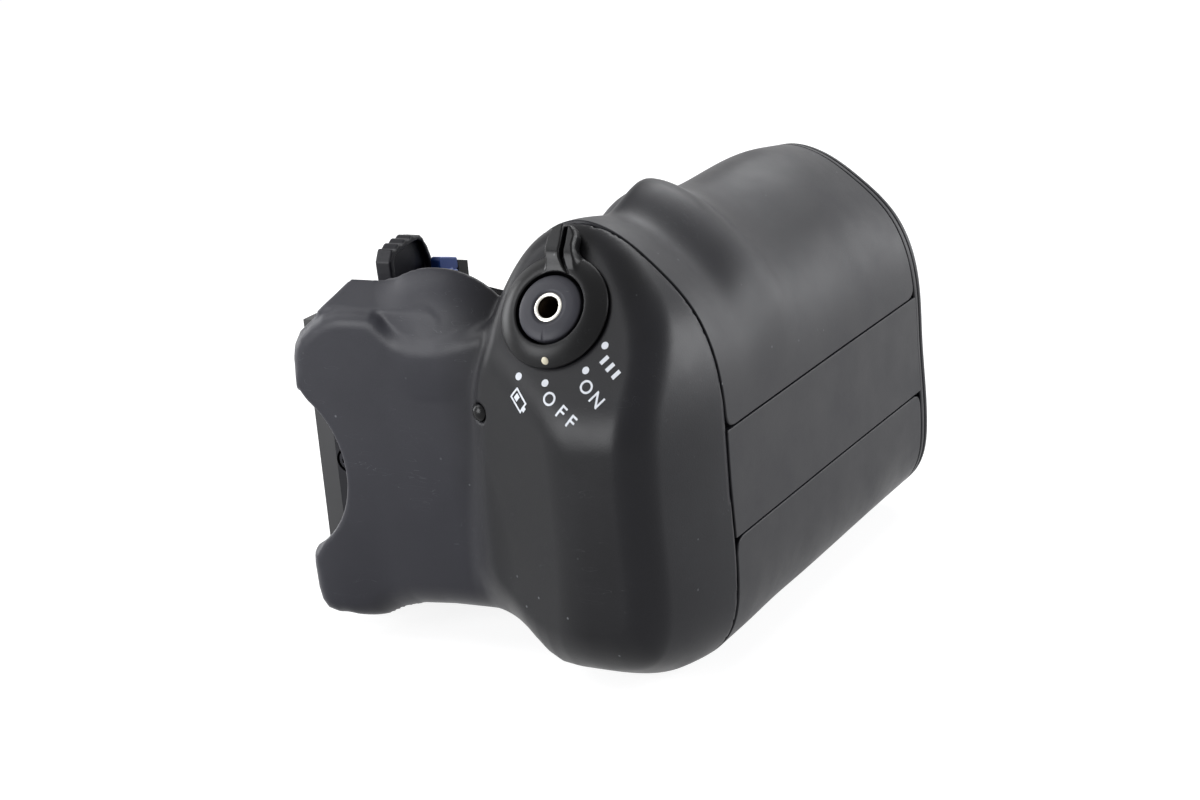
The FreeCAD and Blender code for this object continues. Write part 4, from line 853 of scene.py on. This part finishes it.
def beside(middle, turn, across, up):
    """Spot at a distance across and up from a middle, in a frame turned by some degrees."""
    c, d = math.cos(math.radians(turn)), math.sin(math.radians(turn))
    return middle[0] + across * c - up * d, middle[1] + across * d + up * c


def battery_mark(middle, turn):
    """Draw a plain battery: an outline, its pole and one bar of charge."""
    rows = (((-1.9, -1.0), (-1.9, 1.0), 0.36), ((1.5, -1.0), (1.5, 1.0), 0.36), ((-2.08, 1.0), (1.68, 1.0), 0.36),
            ((-2.08, -1.0), (1.68, -1.0), 0.36), ((1.68, 0.0), (2.2, 0.0), 0.9), ((-1.3, 0.0), (-0.3, 0.0), 1.1))
    return [flat_bar(beside(middle, turn, *a), beside(middle, turn, *b), width) for a, b, width in rows]


def series_mark(middle, turn):
    """Draw three plain bars, one for each frame of a running series."""
    return [flat_bar(beside(middle, turn, step, -0.95), beside(middle, turn, step, 0.95), 0.8)
            for step in (-1.9, 0.0, 1.9)]


# Battery end, lever, key and drive.
KNOB_SPOT = (66.0, 0.0)
KNOB_RADIUS = 8.0
CAP_Y = 74.9
# The cap's edge from its rim inwards as (y, inset), and the well for the coin lock as (radius, y).
CAP_EDGE = ((71.1, 4.2), (71.1, 4.0), (72.1, 3.9), (72.3, 3.6), (72.3, 0.5), (72.4, 0.15), (72.6, 0.0), (73.4, 0.0),
            (73.9, 0.12), (74.3, 0.4), (74.6, 0.8), (74.8, 1.4), (CAP_Y, 2.2))
CAP_WELL = ((8.42, 75.0), (8.3, 74.95), (8.22, 74.8), (8.2, 74.6), (8.2, 72.9), (8.0, 72.9))


def battery_cap():
    """Build the battery cap: a pillowed end with a rolled edge and a round well for its coin lock."""
    count = 288
    middle = np.array([KNOB_SPOT[0], 0, KNOB_SPOT[1]])
    rows = [inset_row(np.arange(count) / count, y, inset) for y, inset in CAP_EDGE]
    rim = rows[-1]
    way = (rim - middle) * ACROSS
    way = way / np.linalg.norm(way, axis=1, keepdims=True)
    hole = middle + way * 8.3
    rings = [(rim * (1 - w) + hole * w, CAP_Y + 0.1 * math.sin(math.pi / 2 * min(w * 3, 1)))
             for w in (0.12, 0.3, 0.5, 0.7, 0.85, 0.95, 0.985)]
    for ring, y in rings + [(middle + way * radius, y) for radius, y in CAP_WELL]:
        ring[:, 1] = y
        rows.append(ring)
    faces = grid_faces(len(rows), count, closed=True)
    last = (len(rows) - 1) * count
    faces += [tuple(range(last, last + count)), tuple(range(count))]
    return new_piece("battery_cap", np.concatenate(rows), faces)


def coin_knob():
    """Carve the coin lock: a low disc with a slot."""
    def distance(x, y, z):
        r = np.hypot(x - KNOB_SPOT[0], z - KNOB_SPOT[1])
        dome = y - CAP_Y - 0.25 * (1 - (r / KNOB_RADIUS) ** 2)
        disc = round_cut(r - KNOB_RADIUS, np.maximum(dome, 73.0 - y), 0.45)
        slot = round_cut(np.abs(z - KNOB_SPOT[1]) - 1.0, 73.7 - y, 0.2)
        return round_cut(disc, -slot, 0.22)
    return carved("coin_knob", distance, (56.5, 72.0, -9.5), (75.5, 76.6, 9.5), 0.26, 2)


LEVER_HUB = (1.0, 21.0)
LEVER_BORE = 2.55
LEVER_SIDES = (5.2, 8.8)
# Three thumb ridges on the lever's top: height, pitch and the place of a crest, with the heights that they fade over.
RIDGE_TALL = 0.42
RIDGE_PITCH = 2.5
RIDGE_CREST = -0.9
RIDGE_FADE = (33.6, 35.2)
LEVER_EDGE = ((-4.3, 21.4), (-4.3, 26.0), (-4.7, 31.5), (-4.8, 33.8), (-4.4, 35.2), (-3.3, 36.1), (-1.6, 36.5),
              (0.6, 36.9), (3.2, 37.2), (5.6, 37.2), (7.2, 36.9), (8.4, 35.8), (9.4, 33.4), (10.3, 31.2), (10.7, 29.6),
              (9.8, 27.2), (7.8, 24.4), (5.6, 20.6), (3.4, 17.4), (1.0, 16.8), (-1.4, 17.6), (-3.2, 19.4))
LEVER_RECESS = ((-3.3, 25.2), (-3.25, 33.4), (-2.7, 34.5), (-1.4, 35.0), (0.8, 35.4), (3.4, 35.8), (5.8, 35.8),
                (7.2, 35.2), (8.2, 33.2), (9.2, 30.8), (9.3, 29.4), (8.4, 27.2), (7.2, 25.2))


def ridged_lever():
    """Carve the lock lever: an upright blade with three thumb ridges on top and a recessed side."""
    def distance(x, y, z):
        near_top = soft_step(*RIDGE_FADE, z)
        ridge = RIDGE_TALL * (0.5 + 0.5 * np.cos((y - RIDGE_CREST) / RIDGE_PITCH * 2 * math.pi)) * near_top
        ridge = ridge * soft_step(-4.6, -3.4, y) * soft_step(6.6, 4.8, y)
        flat = polygon_distance(y, z, LEVER_EDGE) + 0.4 * near_top - ridge
        blade = round_cut(flat, np.maximum(LEVER_SIDES[0] - x, x - LEVER_SIDES[1]), 0.35)
        dish = round_cut(polygon_distance(y, z, LEVER_RECESS), LEVER_SIDES[1] - 1.3 - x, 0.3)
        shaft = np.hypot(y - LEVER_HUB[0], z - LEVER_HUB[1]) - LEVER_BORE
        return np.maximum(round_cut(blade, -dish, 0.2), -shaft)
    return carved("ridged_lever", distance, (4.6, -5.8, 16.0), (9.4, 11.8, 38.4), 0.25, 2)


TUCK_Y = -7.0
TUCK_TOP = -20.0
TUCK_SLOPE = 0.46
HOUSING_FLOOR = -34.4


def tucked(work):
    """Lift the front of the housing's floor, so that it draws up behind the arm."""
    geom = list(work.verts) + list(work.edges) + list(work.faces)
    bmesh.ops.bisect_plane(work, geom=geom, plane_co=(0, TUCK_Y * MM, 0), plane_no=(0, 1, 0), dist=1e-7)
    for vert in work.verts:
        y, z = vert.co.y / MM, vert.co.z / MM
        share = min(max((TUCK_TOP - z) / (TUCK_TOP - HOUSING_FLOOR), 0.0), 1.0)
        vert.co.z += max(TUCK_Y - y, 0.0) * TUCK_SLOPE * share * MM


def softened(name, node, width, bend=None):
    """Copy a solid of the frame, merge it, bend it if asked and round its sharp edges."""
    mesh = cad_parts[node].data.copy()
    mesh.materials.clear()
    work = bmesh.new()
    work.from_mesh(mesh)
    bmesh.ops.remove_doubles(work, verts=work.verts, dist=2e-6)
    bmesh.ops.dissolve_limit(work, angle_limit=math.radians(1.0), verts=work.verts, edges=work.edges)
    if bend:
        bend(work)
    work.to_mesh(mesh)
    work.free()
    if "custom_normal" in mesh.attributes:
        mesh.attributes.remove(mesh.attributes["custom_normal"])
    mesh.polygons.foreach_set("use_smooth", [True] * len(mesh.polygons))
    rough = linked(name + "_rough", mesh)
    bevel = rough.modifiers.new("round", "BEVEL")
    bevel.width = width * MM
    bevel.segments = 3
    bevel.limit_method = "ANGLE"
    bevel.angle_limit = math.radians(35.0)
    bevel.harden_normals = True
    bevel.use_clamp_overlap = True
    result = baked(rough)
    result.name = name
    return linked(name, result)


def cross_head(radius, tall):
    """Carve one pan head with a cross recess, head up along Z."""
    def distance(x, y, z):
        r = np.hypot(x, y)
        pan = round_cut(r - radius, z - tall - 0.12 * (1 - (r / radius) ** 2), 0.32 * tall)
        wide, long = 0.17 * radius, 0.62 * radius
        arms = [np.maximum(np.abs(p) - wide, np.abs(q) - long + 0.45 * (tall - z)) for p, q in ((x, y), (y, x))]
        cross = np.maximum(np.minimum(*arms), tall * 0.32 - z)
        return np.maximum(np.maximum(pan, -z), -cross)
    reach = radius + 0.5
    return carved("screw_head", distance, (-reach, -reach, -0.4), (reach, reach, tall + 0.6), radius / 14, 2)


def fastened(name, head, places, finish):
    """Set a screw head on each place, (spot, way, turn), through a geometry tree and give one mesh."""
    mesh = bpy.data.meshes.new(name)
    mesh.from_pydata([(np.asarray(p[0]) * MM).tolist() for p in places], [], [])
    mesh.attributes.new("way", "FLOAT_VECTOR", "POINT").data.foreach_set("vector", [c for p in places for c in p[1]])
    mesh.attributes.new("turn", "FLOAT", "POINT").data.foreach_set("value", [math.radians(p[2]) for p in places])
    tree = bpy.data.node_groups.new("screws on points", "GeometryNodeTree")
    sockets = {key: tree.interface.new_socket(key, in_out="INPUT", socket_type="NodeSocket" + kind) for key, kind in
               (("Geometry", "Geometry"), ("Screw head", "Object"), ("Size", "Float"), ("Finish", "Material"))}
    sockets["Size"].default_value = 1.0
    tree.interface.new_socket("Geometry", in_out="OUTPUT", socket_type="NodeSocketGeometry")
    start = tree.nodes.new("NodeGroupInput").outputs
    way = add(tree, "GeometryNodeInputNamedAttribute", {"Name": "way"}, data_type="FLOAT_VECTOR")
    turn = add(tree, "GeometryNodeInputNamedAttribute", {"Name": "turn"}, data_type="FLOAT")
    spin = add(tree, "ShaderNodeCombineXYZ", {"Z": turn.outputs["Attribute"]})
    align = add(tree, "FunctionNodeAlignRotationToVector", {"Vector": way.outputs["Attribute"]}, axis="Z")
    inner = add(tree, "FunctionNodeEulerToRotation", {"Euler": spin})
    both = add(tree, "FunctionNodeRotateRotation", {"Rotation": align, "Rotate By": inner}, rotation_space="LOCAL")
    info = add(tree, "GeometryNodeObjectInfo", {"Object": start["Screw head"]})
    place = add(tree, "GeometryNodeInstanceOnPoints",
                {"Points": start["Geometry"], "Instance": info.outputs["Geometry"], "Rotation": both,
                 "Scale": start["Size"]})
    real = add(tree, "GeometryNodeRealizeInstances", {"Geometry": place})
    coat = add(tree, "GeometryNodeSetMaterial", {"Geometry": real, "Material": start["Finish"]})
    tree.links.new(coat.outputs[0], tree.nodes.new("NodeGroupOutput").inputs[0])
    holder = linked(name, mesh)
    modifier = holder.modifiers.new("screws", "NODES")
    modifier.node_group = tree
    modifier[sockets["Screw head"].identifier] = head
    modifier[sockets["Finish"].identifier] = finish
    result = baked(holder)
    result.name = name
    return linked(name, result)


# Finishes.
def add(tree, kind, inputs=None, **settings):
    """Add a node with its settings; an input takes a plain value, a socket, or a node for its first output."""
    node = tree.nodes.new(kind)
    for key, value in settings.items():
        setattr(node, key, value)
    for key, value in (inputs or {}).items():
        if isinstance(value, bpy.types.Node):
            value = value.outputs[0]
        if isinstance(value, bpy.types.NodeSocket):
            tree.links.new(value, node.inputs[key])
        else:
            node.inputs[key].default_value = value
    return node


def linear(code):
    """Turn an sRGB hex colour into linear light."""
    parts = [int(code[i:i + 2], 16) / 255 for i in (1, 3, 5)]
    return tuple(c / 12.92 if c <= 0.04045 else ((c + 0.055) / 1.055) ** 2.4 for c in parts) + (1.0,)


def finish_base(name, **values):
    """Start a material with its shader; give the tree, the shader and object coordinates."""
    material = bpy.data.materials.new(name)
    material.use_nodes = True
    tree = material.node_tree
    tree.nodes.clear()
    shader = add(tree, "ShaderNodeBsdfPrincipled", values)
    add(tree, "ShaderNodeOutputMaterial", {"Surface": shader})
    return material, tree, shader, add(tree, "ShaderNodeTexCoord").outputs["Object"]


def coated(tree, shader, colour, rough, height, strength, depth):
    """Link a colour, a roughness and a grain of some depth in mm into a shader."""
    bump = add(tree, "ShaderNodeBump", {"Height": height, "Strength": strength, "Distance": depth * MM})
    for key, socket in (("Base Color", colour), ("Roughness", rough.outputs[0]), ("Normal", bump.outputs[0])):
        tree.links.new(socket, shader.inputs[key])


TONE_SPAN = 90.0


def moulded_black(name, base, pale, rough, grain, specks, seed, tones=None):
    """Black ABS, moulded with a fine satin grain, gone a little grey, with lint and hair scratches.

    Tones give a colour added along X in mm: painted light and shade, lighter where the lamps fall on the piece and
    darker where they do not.
    """
    material, tree, shader, at = finish_base(name, **{"IOR": 1.5, "Specular IOR Level": 0.18})
    spot = add(tree, "ShaderNodeMapping", {"Vector": at, "Location": (seed, seed * 0.7, seed * 1.3)})
    # Broad greying of the plastic over about 12 mm.
    cloud = add(tree, "ShaderNodeTexNoise", {"Vector": spot, "Scale": 80.0, "Detail": 4.0, "Roughness": 0.6})
    # Satin grain of the mould, 0.3 mm.
    fine = add(tree, "ShaderNodeTexNoise", {"Vector": spot, "Scale": 3300.0, "Detail": 2.0, "Roughness": 0.7})
    mix = add(tree, "ShaderNodeMix", {"Factor": cloud, "A": linear(base), "B": linear(pale)}, data_type="RGBA")
    # Painted light and shade: the tones' colour is added to the plastic along X.
    if tones:
        along = add(tree, "ShaderNodeSeparateXYZ", {"Vector": at})
        span = add(tree, "ShaderNodeMapRange", {"Value": along, "From Max": TONE_SPAN * MM})
        ramp = add(tree, "ShaderNodeValToRGB", {"Fac": span})
        for _ in tones[2:]:
            ramp.color_ramp.elements.new(0.5)
        for stop, (x, code) in zip(ramp.color_ramp.elements, tones):
            stop.position = x / TONE_SPAN
            stop.color = linear(code)
        mix = add(tree, "ShaderNodeMix", {"Factor": 1.0, "A": mix.outputs["Result"], "B": ramp}, data_type="RGBA",
                  blend_type="ADD")
    # Lint and dust: cells of about 2 mm, few of which hold a bright speck of 0.15 mm.
    dust = add(tree, "ShaderNodeTexVoronoi", {"Vector": spot, "Scale": 520.0})
    dot = add(tree, "ShaderNodeMapRange", {"Value": dust, "From Min": 0.16, "From Max": 0.06})
    pick = add(tree, "ShaderNodeSeparateColor", {"Color": dust.outputs["Color"]})
    few = add(tree, "ShaderNodeMapRange", {"Value": pick, "From Min": 1.0 - specks, "From Max": 1.0 - specks * 0.4})
    speck = add(tree, "ShaderNodeMath", {0: dot, 1: few}, operation="MULTIPLY")
    # Hair scratches: thin level lines of a stretched noise, 0.05 mm wide and some 8 mm long, in patches.
    lay = add(tree, "ShaderNodeMapping", {"Vector": spot, "Rotation": (0.3, 0.5, 0.8), "Scale": (110.0, 900.0, 700.0)})
    hair = add(tree, "ShaderNodeTexNoise", {"Vector": lay, "Scale": 1.0, "Detail": 1.0, "Distortion": 0.4})
    level = add(tree, "ShaderNodeMath", {0: hair, 1: 0.62, 2: 0.0022}, operation="COMPARE")
    patch = add(tree, "ShaderNodeMapRange", {"Value": cloud, "From Min": 0.52, "From Max": 0.6})
    scratch = add(tree, "ShaderNodeMath", {0: level, 1: patch}, operation="MULTIPLY")
    faint = add(tree, "ShaderNodeMath", {0: scratch, 1: 0.3}, operation="MULTIPLY")
    marks = add(tree, "ShaderNodeMath", {0: speck, 1: faint}, operation="MAXIMUM")
    soft = add(tree, "ShaderNodeMath", {0: marks, 1: 0.35}, operation="MULTIPLY")
    worn = add(tree, "ShaderNodeMix", {"Factor": soft, "A": mix.outputs["Result"], "B": linear("#8f9296")},
               data_type="RGBA")
    sheen = add(tree, "ShaderNodeMapRange", {"Value": cloud, "From Min": 0.3, "From Max": 0.7, "To Min": rough - 0.05,
                                             "To Max": rough + 0.07})
    coated(tree, shader, worn.outputs["Result"], sheen, fine, grain, 0.06)
    return material


def bare_metal(name, colour, dark, rough, brushed):
    """A metal surface with a turned or brushed grain and slightly darker patches of about 4 mm."""
    material, tree, shader, at = finish_base(name, Metallic=1.0)
    stretch = add(tree, "ShaderNodeMapping", {"Vector": at, "Scale": brushed})
    grain = add(tree, "ShaderNodeTexNoise", {"Vector": stretch, "Scale": 1.0, "Detail": 3.0})
    patch = add(tree, "ShaderNodeTexNoise", {"Vector": at, "Scale": 260.0, "Detail": 3.0})
    tone = add(tree, "ShaderNodeMix", {"Factor": patch, "A": linear(dark), "B": linear(colour)}, data_type="RGBA")
    sheen = add(tree, "ShaderNodeMapRange", {"Value": grain, "To Min": rough - 0.08, "To Max": rough + 0.1})
    coated(tree, shader, tone.outputs["Result"], sheen, grain, 0.25, 0.03)
    return material


def plain_plastic(name, colour, second, rough, scale):
    """A moulded or printed surface: two near tones over a real length, and a grain of 0.4 mm."""
    material, tree, shader, at = finish_base(name, IOR=1.49)
    cloud = add(tree, "ShaderNodeTexNoise", {"Vector": at, "Scale": scale, "Detail": 4.0})
    tone = add(tree, "ShaderNodeMix", {"Factor": cloud, "A": linear(colour), "B": linear(second)}, data_type="RGBA")
    sheen = add(tree, "ShaderNodeMapRange", {"Value": cloud, "To Min": rough - 0.06, "To Max": rough + 0.06})
    fine = add(tree, "ShaderNodeTexNoise", {"Vector": at, "Scale": 2600.0, "Detail": 2.0})
    coated(tree, shader, tone.outputs["Result"], sheen, fine, 0.15, 0.05)
    return material


def dress(piece, body, material, *nodes):
    """Give a piece its finish, its body and the solids that it stands for."""
    piece.data.materials.clear()
    piece.data.materials.append(material)
    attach(piece, body)
    if nodes:
        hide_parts(*nodes)
    return piece


# Making and dressing.
SHELL = moulded_black("satin moulded black ABS", "#121216", "#1a1a1f", 0.40, 0.30, 0.030, 0.0)
# The head's black is a darker copy of the shell's, with painted light and shade along X: the arm (X up to 36 mm) is
# painted lighter, the face between 47 and 76 mm stays dark as painted shade, and the side from 82 mm is a little
# lighter.
HEAD = moulded_black("black ABS of the head with painted light and shade", "#0c0c0e", "#121215", 0.38, 0.30, 0.030, 0.0,
                     tones=((0.0, "#2a2a2f"), (36.0, "#26262b"), (47.0, "#060607"), (76.0, "#040405"),
                            (82.0, "#141417")))
BUTTON = moulded_black("worn satin black ABS of the button", "#2c2c31", "#38383e", 0.42, 0.3, 0.020, 0.5)
RING = moulded_black("satin moulded black ABS of the ring", "#070708", "#0b0b0d", 0.33, 0.2, 0.020, 0.3)
SMOOTH = moulded_black("polished moulded black ABS", "#08080a", "#0c0c0f", 0.26, 0.10, 0.020, 0.7)
PAINTED = plain_plastic("black stoved enamel on the plate", "#111114", "#17171a", 0.45, 240.0)
BLACKED = bare_metal("blackened steel screw", "#3a3a3e", "#1c1c1f", 0.36, (1500.0, 400.0, 400.0))
DARK = plain_plastic("dull black inner moulding", "#111214", "#17181a", 0.55, 200.0)
NICKEL = bare_metal("nickel plated brass", "#d6d3cb", "#a8a59e", 0.24, (900.0, 900.0, 3600.0))
THREAD = bare_metal("oiled brass thread", "#4a4034", "#1f1a14", 0.34, (900.0, 900.0, 3600.0))
STEEL = bare_metal("zinc plated steel", "#bfc1c2", "#8f9193", 0.30, (1500.0, 400.0, 400.0))
BRASS = bare_metal("turned brass", "#c9a75c", "#9c7c3c", 0.28, (2500.0, 600.0, 600.0))
CAN = bare_metal("drawn steel motor can", "#aeb0b2", "#85878a", 0.34, (300.0, 2200.0, 2200.0))
BLUE = plain_plastic("dark blue moulded ABS", "#12367c", "#1b4592", 0.40, 150.0)
WHITE = plain_plastic("white printed ink", "#d8dbe0", "#bfc2c8", 0.55, 900.0)
CREAM = plain_plastic("cream paint in the index", "#d9d2bd", "#c8c0a6", 0.45, 700.0)
LENS = moulded_black("smoked acrylic lens", "#040405", "#070709", 0.24, 0.03, 0.0, 0.9)
BOARD = plain_plastic("green solder mask", "#17482c", "#123a24", 0.35, 300.0)
NYLON = plain_plastic("natural nylon", "#e4dfcc", "#d6cfb8", 0.4, 260.0)
CELL = plain_plastic("printed cell sleeve", "#2f5d8c", "#284f79", 0.3, 220.0)
GREY = plain_plastic("grey moulded ABS", "#3b3d40", "#2f3134", 0.45, 180.0)

cover, palm, band = handle_shells()
dress(cover, "casing", SHELL, "front_grip_cover")
dress(palm, "casing", SHELL, "rear_palm_cover")
dress(band, "casing", SHELL, "spine_case")
dress(head_shell(), "casing", HEAD, "head_cover")
dress(battery_cap(), "magazine", SHELL, "end_cap")
dress(coin_knob(), "knob", SMOOTH, "lock_knob")
dress(shutter_button(), "button", BUTTON, "release_button")
dress_thread(dress(cable_insert(), "button", NICKEL, "cable_socket"))
dress(selector_dial(), "selector", RING, "selector_ring")
dress(disc_on_ring(), "selector", CREAM, "index_dot")
dress(lamp_lens(), "casing", LENS, "battery_lamp")
dress(back_plate(), "casing", DARK, "arm_back_plate")
dress(ridged_lever(), "lever", SHELL, "lock_lever")
dress(softened("blue_key", "release_key", 0.4), "key", BLUE, "release_key")
dress(softened("motor_housing", "drive_housing", 0.5, bend=tucked), "casing", SHELL, "drive_housing")
dress(softened("housing_lid", "drive_cover", 0.35, bend=tucked), "casing", SHELL, "drive_cover")
dress(softened("bent_gear_plate", "gear_plate", 0.15, bend=tucked), "casing", STEEL, "gear_plate")
dress(softened("camera_plate", "mounting_plate", 0.3), "casing", PAINTED, "mounting_plate")

# Screws: cross heads in the plate and the housing, small pan heads in its lid.
large_head = cross_head(2.2, 0.8)
small_head = cross_head(1.25, 0.5)
plate_places = [((1.0, y, z), (-1, 0, 0), turn) for y, z, turn in
                ((-19.0, 8.0, 20.0), (-19.0, -14.0, 64.0), (27.5, -27.0, 5.0), (27.5, 11.0, 38.0))]
front_places = [((6.6, -22.7, -1.6), (0, -1, 0), 12.0)]
LID_Y = (-22.6, 29.8)
LID_Z = -36.0
tilt_way = tuple(Vector((0.0, -TUCK_SLOPE, -1.0)).normalized())
raised = LID_Z + (TUCK_Y - LID_Y[0]) * TUCK_SLOPE + 0.3
lid_places = [((x, LID_Y[0], raised), tilt_way, turn) for x, turn in ((7.0, 15.0), (39.0, 70.0))]
lid_places += [((x, LID_Y[1], LID_Z), (0, 0, -1), turn) for x, turn in ((7.0, 33.0), (39.0, 52.0))]
for name, head, places, node in (("plate_screw_heads", large_head, plate_places, "plate_screws"),
                                 ("front_screw_head", large_head, front_places, "front_screw"),
                                 ("lid_screw_heads", small_head, lid_places, "cover_screws")):
    dress(fastened(name, head, places, BLACKED), "casing", BLACKED, node)
for head in (large_head, small_head):
    bpy.data.objects.remove(head)

# Marks printed round the release: dots, OFF and ON, and plain strokes at the two end settings.
dots = [flat_disc(spot, 0.7) for spot in ((-4.94, -12.29), (0.87, -13.2), (8.5, -10.3), (11.3, -5.5))]
letters = (("O", (2.35, -16.0), -38.0), ("F", (5.3, -18.2), -36.0), ("F", (7.55, -19.8), -35.0),
           ("O", (9.3, -13.3), -40.0), ("N", (11.9, -15.5), -40.0))
dress(printed("setting_dots", dots), "casing", WHITE)
dress(printed("setting_words", [flat_letter(*row, 2.5) for row in letters]), "casing", WHITE)
dress(printed("battery_mark", battery_mark((-4.6, -16.5), -50.0)), "casing", WHITE)
dress(printed("series_mark", series_mark((13.2, -9.4), -41.0)), "casing", WHITE)

# Solids of the frame that are shown as they are, with a finish of their own.
CARRIED = {
    "bulkhead": DARK, "switch_bracket": DARK, "selector_rotor": DARK, "release_switch": DARK,
    "contact_block": DARK, "battery_magazine": DARK, "terminal_block": DARK,
    "circuit_board": BOARD, "board_components": GREY, "board_posts": BRASS, "coupler_bush": BRASS,
    "drive_coupler": STEEL, "coupler_gear": NYLON, "idler_gear": NYLON, "motor_pinion": BRASS,
    "idler_axle": STEEL, "motor_shaft_rod": STEEL, "motor": CAN, "locating_pins": STEEL,
    "contact_pins": BRASS, "lock_shaft": STEEL, "key_spring": STEEL, "release_spring": STEEL, "detent_leaf": BRASS,
    "aa_cells": CELL, "cell_contacts": NICKEL, "terminals": NICKEL, "arm_screws": STEEL, "bulkhead_screws": STEEL,
}
for node, material in CARRIED.items():
    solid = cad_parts[node]
    solid.data.materials.clear()
    solid.data.materials.append(material)


# Stage, light and camera.
FLOOR_REACH = 3.0
LAMP_SIZE = 0.5
LAMP_TINT = (0.97, 0.98, 1.0)
MIDDLE = (0.045, -0.005, 0.005)


def background_rays(tree):
    """Give 1 for rays that see the background: from the camera, in gloss and through glass."""
    path = add(tree, "ShaderNodeLightPath").outputs
    either = add(tree, "ShaderNodeMath", {0: path["Is Camera Ray"], 1: path["Is Glossy Ray"]}, operation="MAXIMUM")
    return add(tree, "ShaderNodeMath", {0: either, 1: path["Is Transmission Ray"]}, operation="MAXIMUM")


def standing_floor():
    """Lay the floor under the lowest points of the piece."""
    low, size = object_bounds()[0][2], FLOOR_REACH
    mesh = bpy.data.meshes.new("floor")
    corners = [(-size, -size, low), (size, -size, low), (size, size, low), (-size, size, low)]
    mesh.from_pydata(corners, [], [(0, 1, 2, 3)])
    piece = linked("floor", mesh)
    # White paper: it shows as the plain background does, and keeps the soft shadow under the piece.
    values = {"Base Color": linear("#a2a2a2"), "Roughness": 0.9, "Specular IOR Level": 0.0,
              "Emission Color": (1, 1, 1, 1)}
    material, tree, shader, _ = finish_base("white paper sweep", **values)
    glow = add(tree, "ShaderNodeMath", {0: background_rays(tree), 1: 0.86}, operation="MULTIPLY")
    tree.links.new(glow.outputs[0], shader.inputs["Emission Strength"])
    mesh.materials.append(material)


def lamp(name, turn, rise, power):
    """Hang a soft square lamp of 0.5 m, 1 m from the piece, turned and raised by degrees."""
    light = bpy.data.lights.new(name, "AREA")
    light.shape = "SQUARE"
    light.size = LAMP_SIZE
    light.energy = power
    light.color = LAMP_TINT
    turn, rise = math.radians(turn), math.radians(rise)
    way = Vector((math.sin(turn) * math.cos(rise), -math.cos(turn) * math.cos(rise), math.sin(rise)))
    piece = linked(name, light)
    piece.location = Vector(MIDDLE) + way
    piece.rotation_euler = (-way).to_track_quat("-Z", "Y").to_euler()


standing_floor()
world = bpy.data.worlds.new("studio")
bpy.context.scene.world = world
world.use_nodes = True
sky = world.node_tree
sky.nodes.clear()
strength = add(sky, "ShaderNodeMapRange", {"Value": background_rays(sky), "To Min": 0.12, "To Max": 1.0})
glow = add(sky, "ShaderNodeBackground", {"Color": (1, 1, 1, 1), "Strength": strength})
add(sky, "ShaderNodeOutputWorld", {"Surface": glow})
# Soft lamps in a ring of 1 m: the turn from the head's side towards the release side, the height in degrees, watts.
for name, turn, rise, power in (("front left", -30, 12, 9.0), ("high front left", -60, 45, 3.8),
                                ("left", -90, 12, 4.6), ("right", 120, 12, 7.8), ("rear right", 150, 12, 2.2),
                                ("above the rear", 180, 45, 4.8)):
    lamp(name, turn, rise, power)

CAMERA_SPOT = Vector((0.27495, -0.38729, 0.14791))
CAMERA_WAY = (30.0, 17.5, 5.0)


def photograph_camera():
    """Set the camera where the photograph was taken from."""
    turn, fall, roll = (math.radians(v) for v in CAMERA_WAY)
    right = Vector((math.cos(turn), math.sin(turn), 0))
    ahead = Vector((-math.sin(turn) * math.cos(fall), math.cos(turn) * math.cos(fall), -math.sin(fall)))
    up = right.cross(ahead)
    across = right * math.cos(roll) - up * math.sin(roll)
    over = right * math.sin(roll) + up * math.cos(roll)
    lens = bpy.data.cameras.new("camera")
    lens.lens = 72.0
    lens.sensor_width = 36.0
    lens.clip_start = 0.02
    piece = linked("camera", lens)
    grid = Matrix((across, over, -ahead)).transposed().to_4x4()
    grid.translation = CAMERA_SPOT
    piece.matrix_world = grid
    bpy.context.scene.camera = piece


photograph_camera()
bpy.context.scene.view_settings.view_transform = "Standard"
